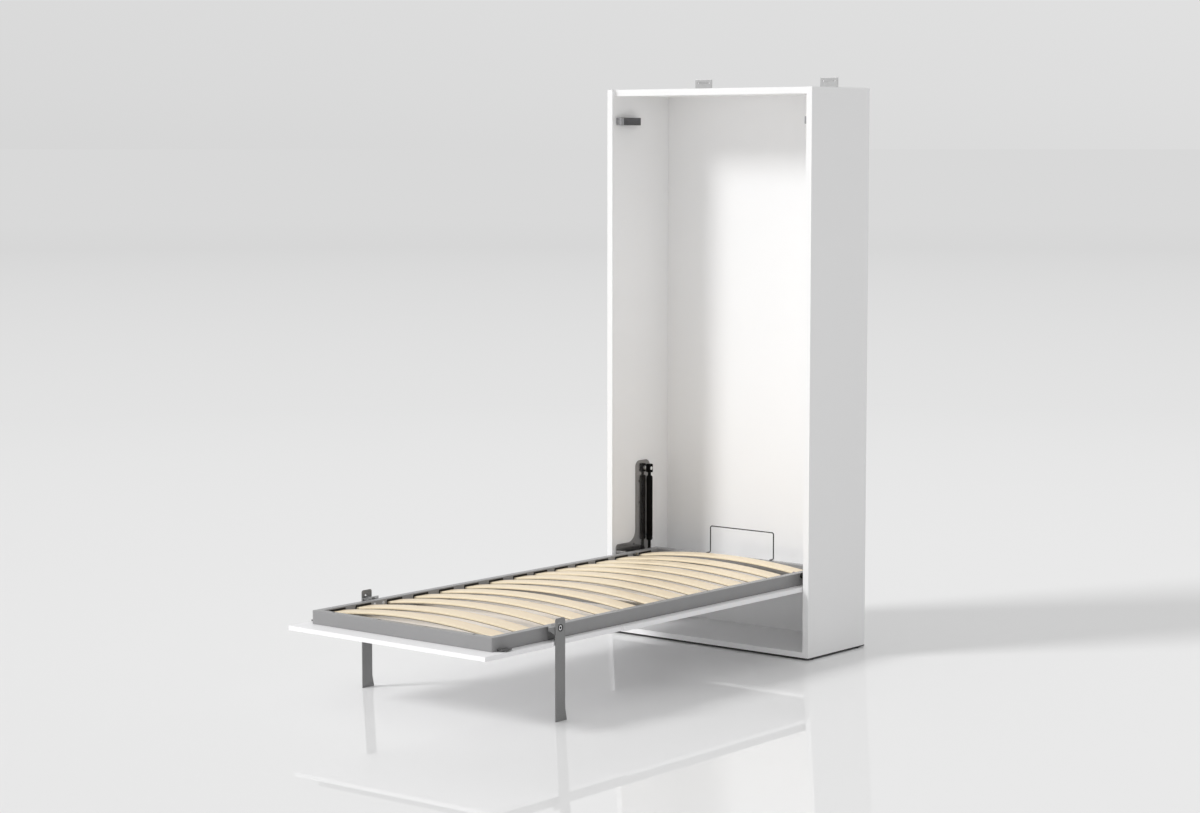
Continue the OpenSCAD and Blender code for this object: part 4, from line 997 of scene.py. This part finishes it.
def background(scene, fill):
    """World: even light for the surfaces, and a pale graded background for the camera, gloss and glass.

    The background gets lighter upwards and to the right of the camera's view. The light is strongest near the
    horizon and overhead, and a little stronger from the left and from the front.
    """
    world = bpy.data.worlds.new("studio")
    scene.world = world
    world.use_nodes = True
    nodes = Nodes(world.node_tree)
    x, y, z = nodes.parts(nodes.add("ShaderNodeTexCoord").outputs["Generated"])
    up = nodes.math("MULTIPLY", z, 4.0, clamp=True)
    tint = nodes.ramp(up, ((0.0, linear(217.5)), (0.08, linear(219.5)), (0.22, linear(221.5)),
                           (1.0, linear(225))))
    aside = nodes.math("ADD", nodes.math("MULTIPLY", x, math.cos(CAMERA_TURN)),
                       nodes.math("MULTIPLY", y, math.sin(CAMERA_TURN)))
    aside = nodes.math("ADD", nodes.math("MULTIPLY", aside, 2.0), 0.5, clamp=True)
    tint = nodes.mix(1.0, tint, nodes.ramp(aside, ((0.0, 0.965), (0.5, 1.0), (1.0, 1.035))), "MULTIPLY")
    seen = nodes.add("ShaderNodeBackground", Color=tint, Strength=1.0).outputs[0]
    level = nodes.ramp(z, ((0.0, 0.88), (0.12, 0.62), (0.30, 0.47), (0.6, 0.56), (1.0, 0.86)))
    slope = nodes.math("ADD", nodes.math("MULTIPLY", x, -0.15), nodes.math("MULTIPLY", y, -0.06))
    level = nodes.mix(1.0, level, nodes.math("ADD", slope, 1.0), "MULTIPLY")
    light = nodes.add("ShaderNodeBackground", Color=level, Strength=fill).outputs[0]
    rays = nodes.add("ShaderNodeLightPath").outputs
    shown = nodes.math("MAXIMUM", rays["Is Camera Ray"], rays["Is Glossy Ray"])
    shown = nodes.math("MAXIMUM", shown, rays["Is Transmission Ray"])
    nodes.add("ShaderNodeOutputWorld", Surface=nodes.blended(shown, light, seen))


OPERATORS = (MakeStage, MakeCabinet, MakeSteel, MakeFasteners, MakeSlats, MakeHolders, MakeLoop, MakeWelds,
             MakeWashers, MakeStruts)


class WallBedPanel(bpy.types.Panel):
    """Sizes, colours and steps of the wall bed."""
    bl_idname = "VIEW3D_PT_wall_bed"
    bl_label = "Wall bed"
    bl_space_type = "VIEW_3D"
    bl_region_type = "UI"
    bl_category = "Wall bed"

    def draw(self, context):
        for group in (*chosen(context), context.scene.wall_bed_studio):
            box = self.layout.box()
            for key in group.__annotations__:
                box.prop(group, key)
        for operator in OPERATORS:
            self.layout.operator(operator.bl_idname)


CLASSES = (WallBedSizes, WallBedColours, WallBedStudio, *OPERATORS, WallBedPanel)


def register():
    """Registers the classes and hangs their values on the scene."""
    for cls in CLASSES:
        bpy.utils.register_class(cls)
    bpy.types.Scene.wall_bed_sizes = bpy.props.PointerProperty(type=WallBedSizes)
    bpy.types.Scene.wall_bed_colours = bpy.props.PointerProperty(type=WallBedColours)
    bpy.types.Scene.wall_bed_studio = bpy.props.PointerProperty(type=WallBedStudio)


def unregister():
    """Takes back what register made."""
    del bpy.types.Scene.wall_bed_studio
    del bpy.types.Scene.wall_bed_colours
    del bpy.types.Scene.wall_bed_sizes
    for cls in reversed(CLASSES):
        bpy.utils.unregister_class(cls)


def main():
    """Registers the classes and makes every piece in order."""
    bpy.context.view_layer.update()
    register()
    for operator in OPERATORS:
        group, name = operator.bl_idname.split(".")
        getattr(getattr(bpy.ops, group), name)()


if __name__ == "__main__":
    main()
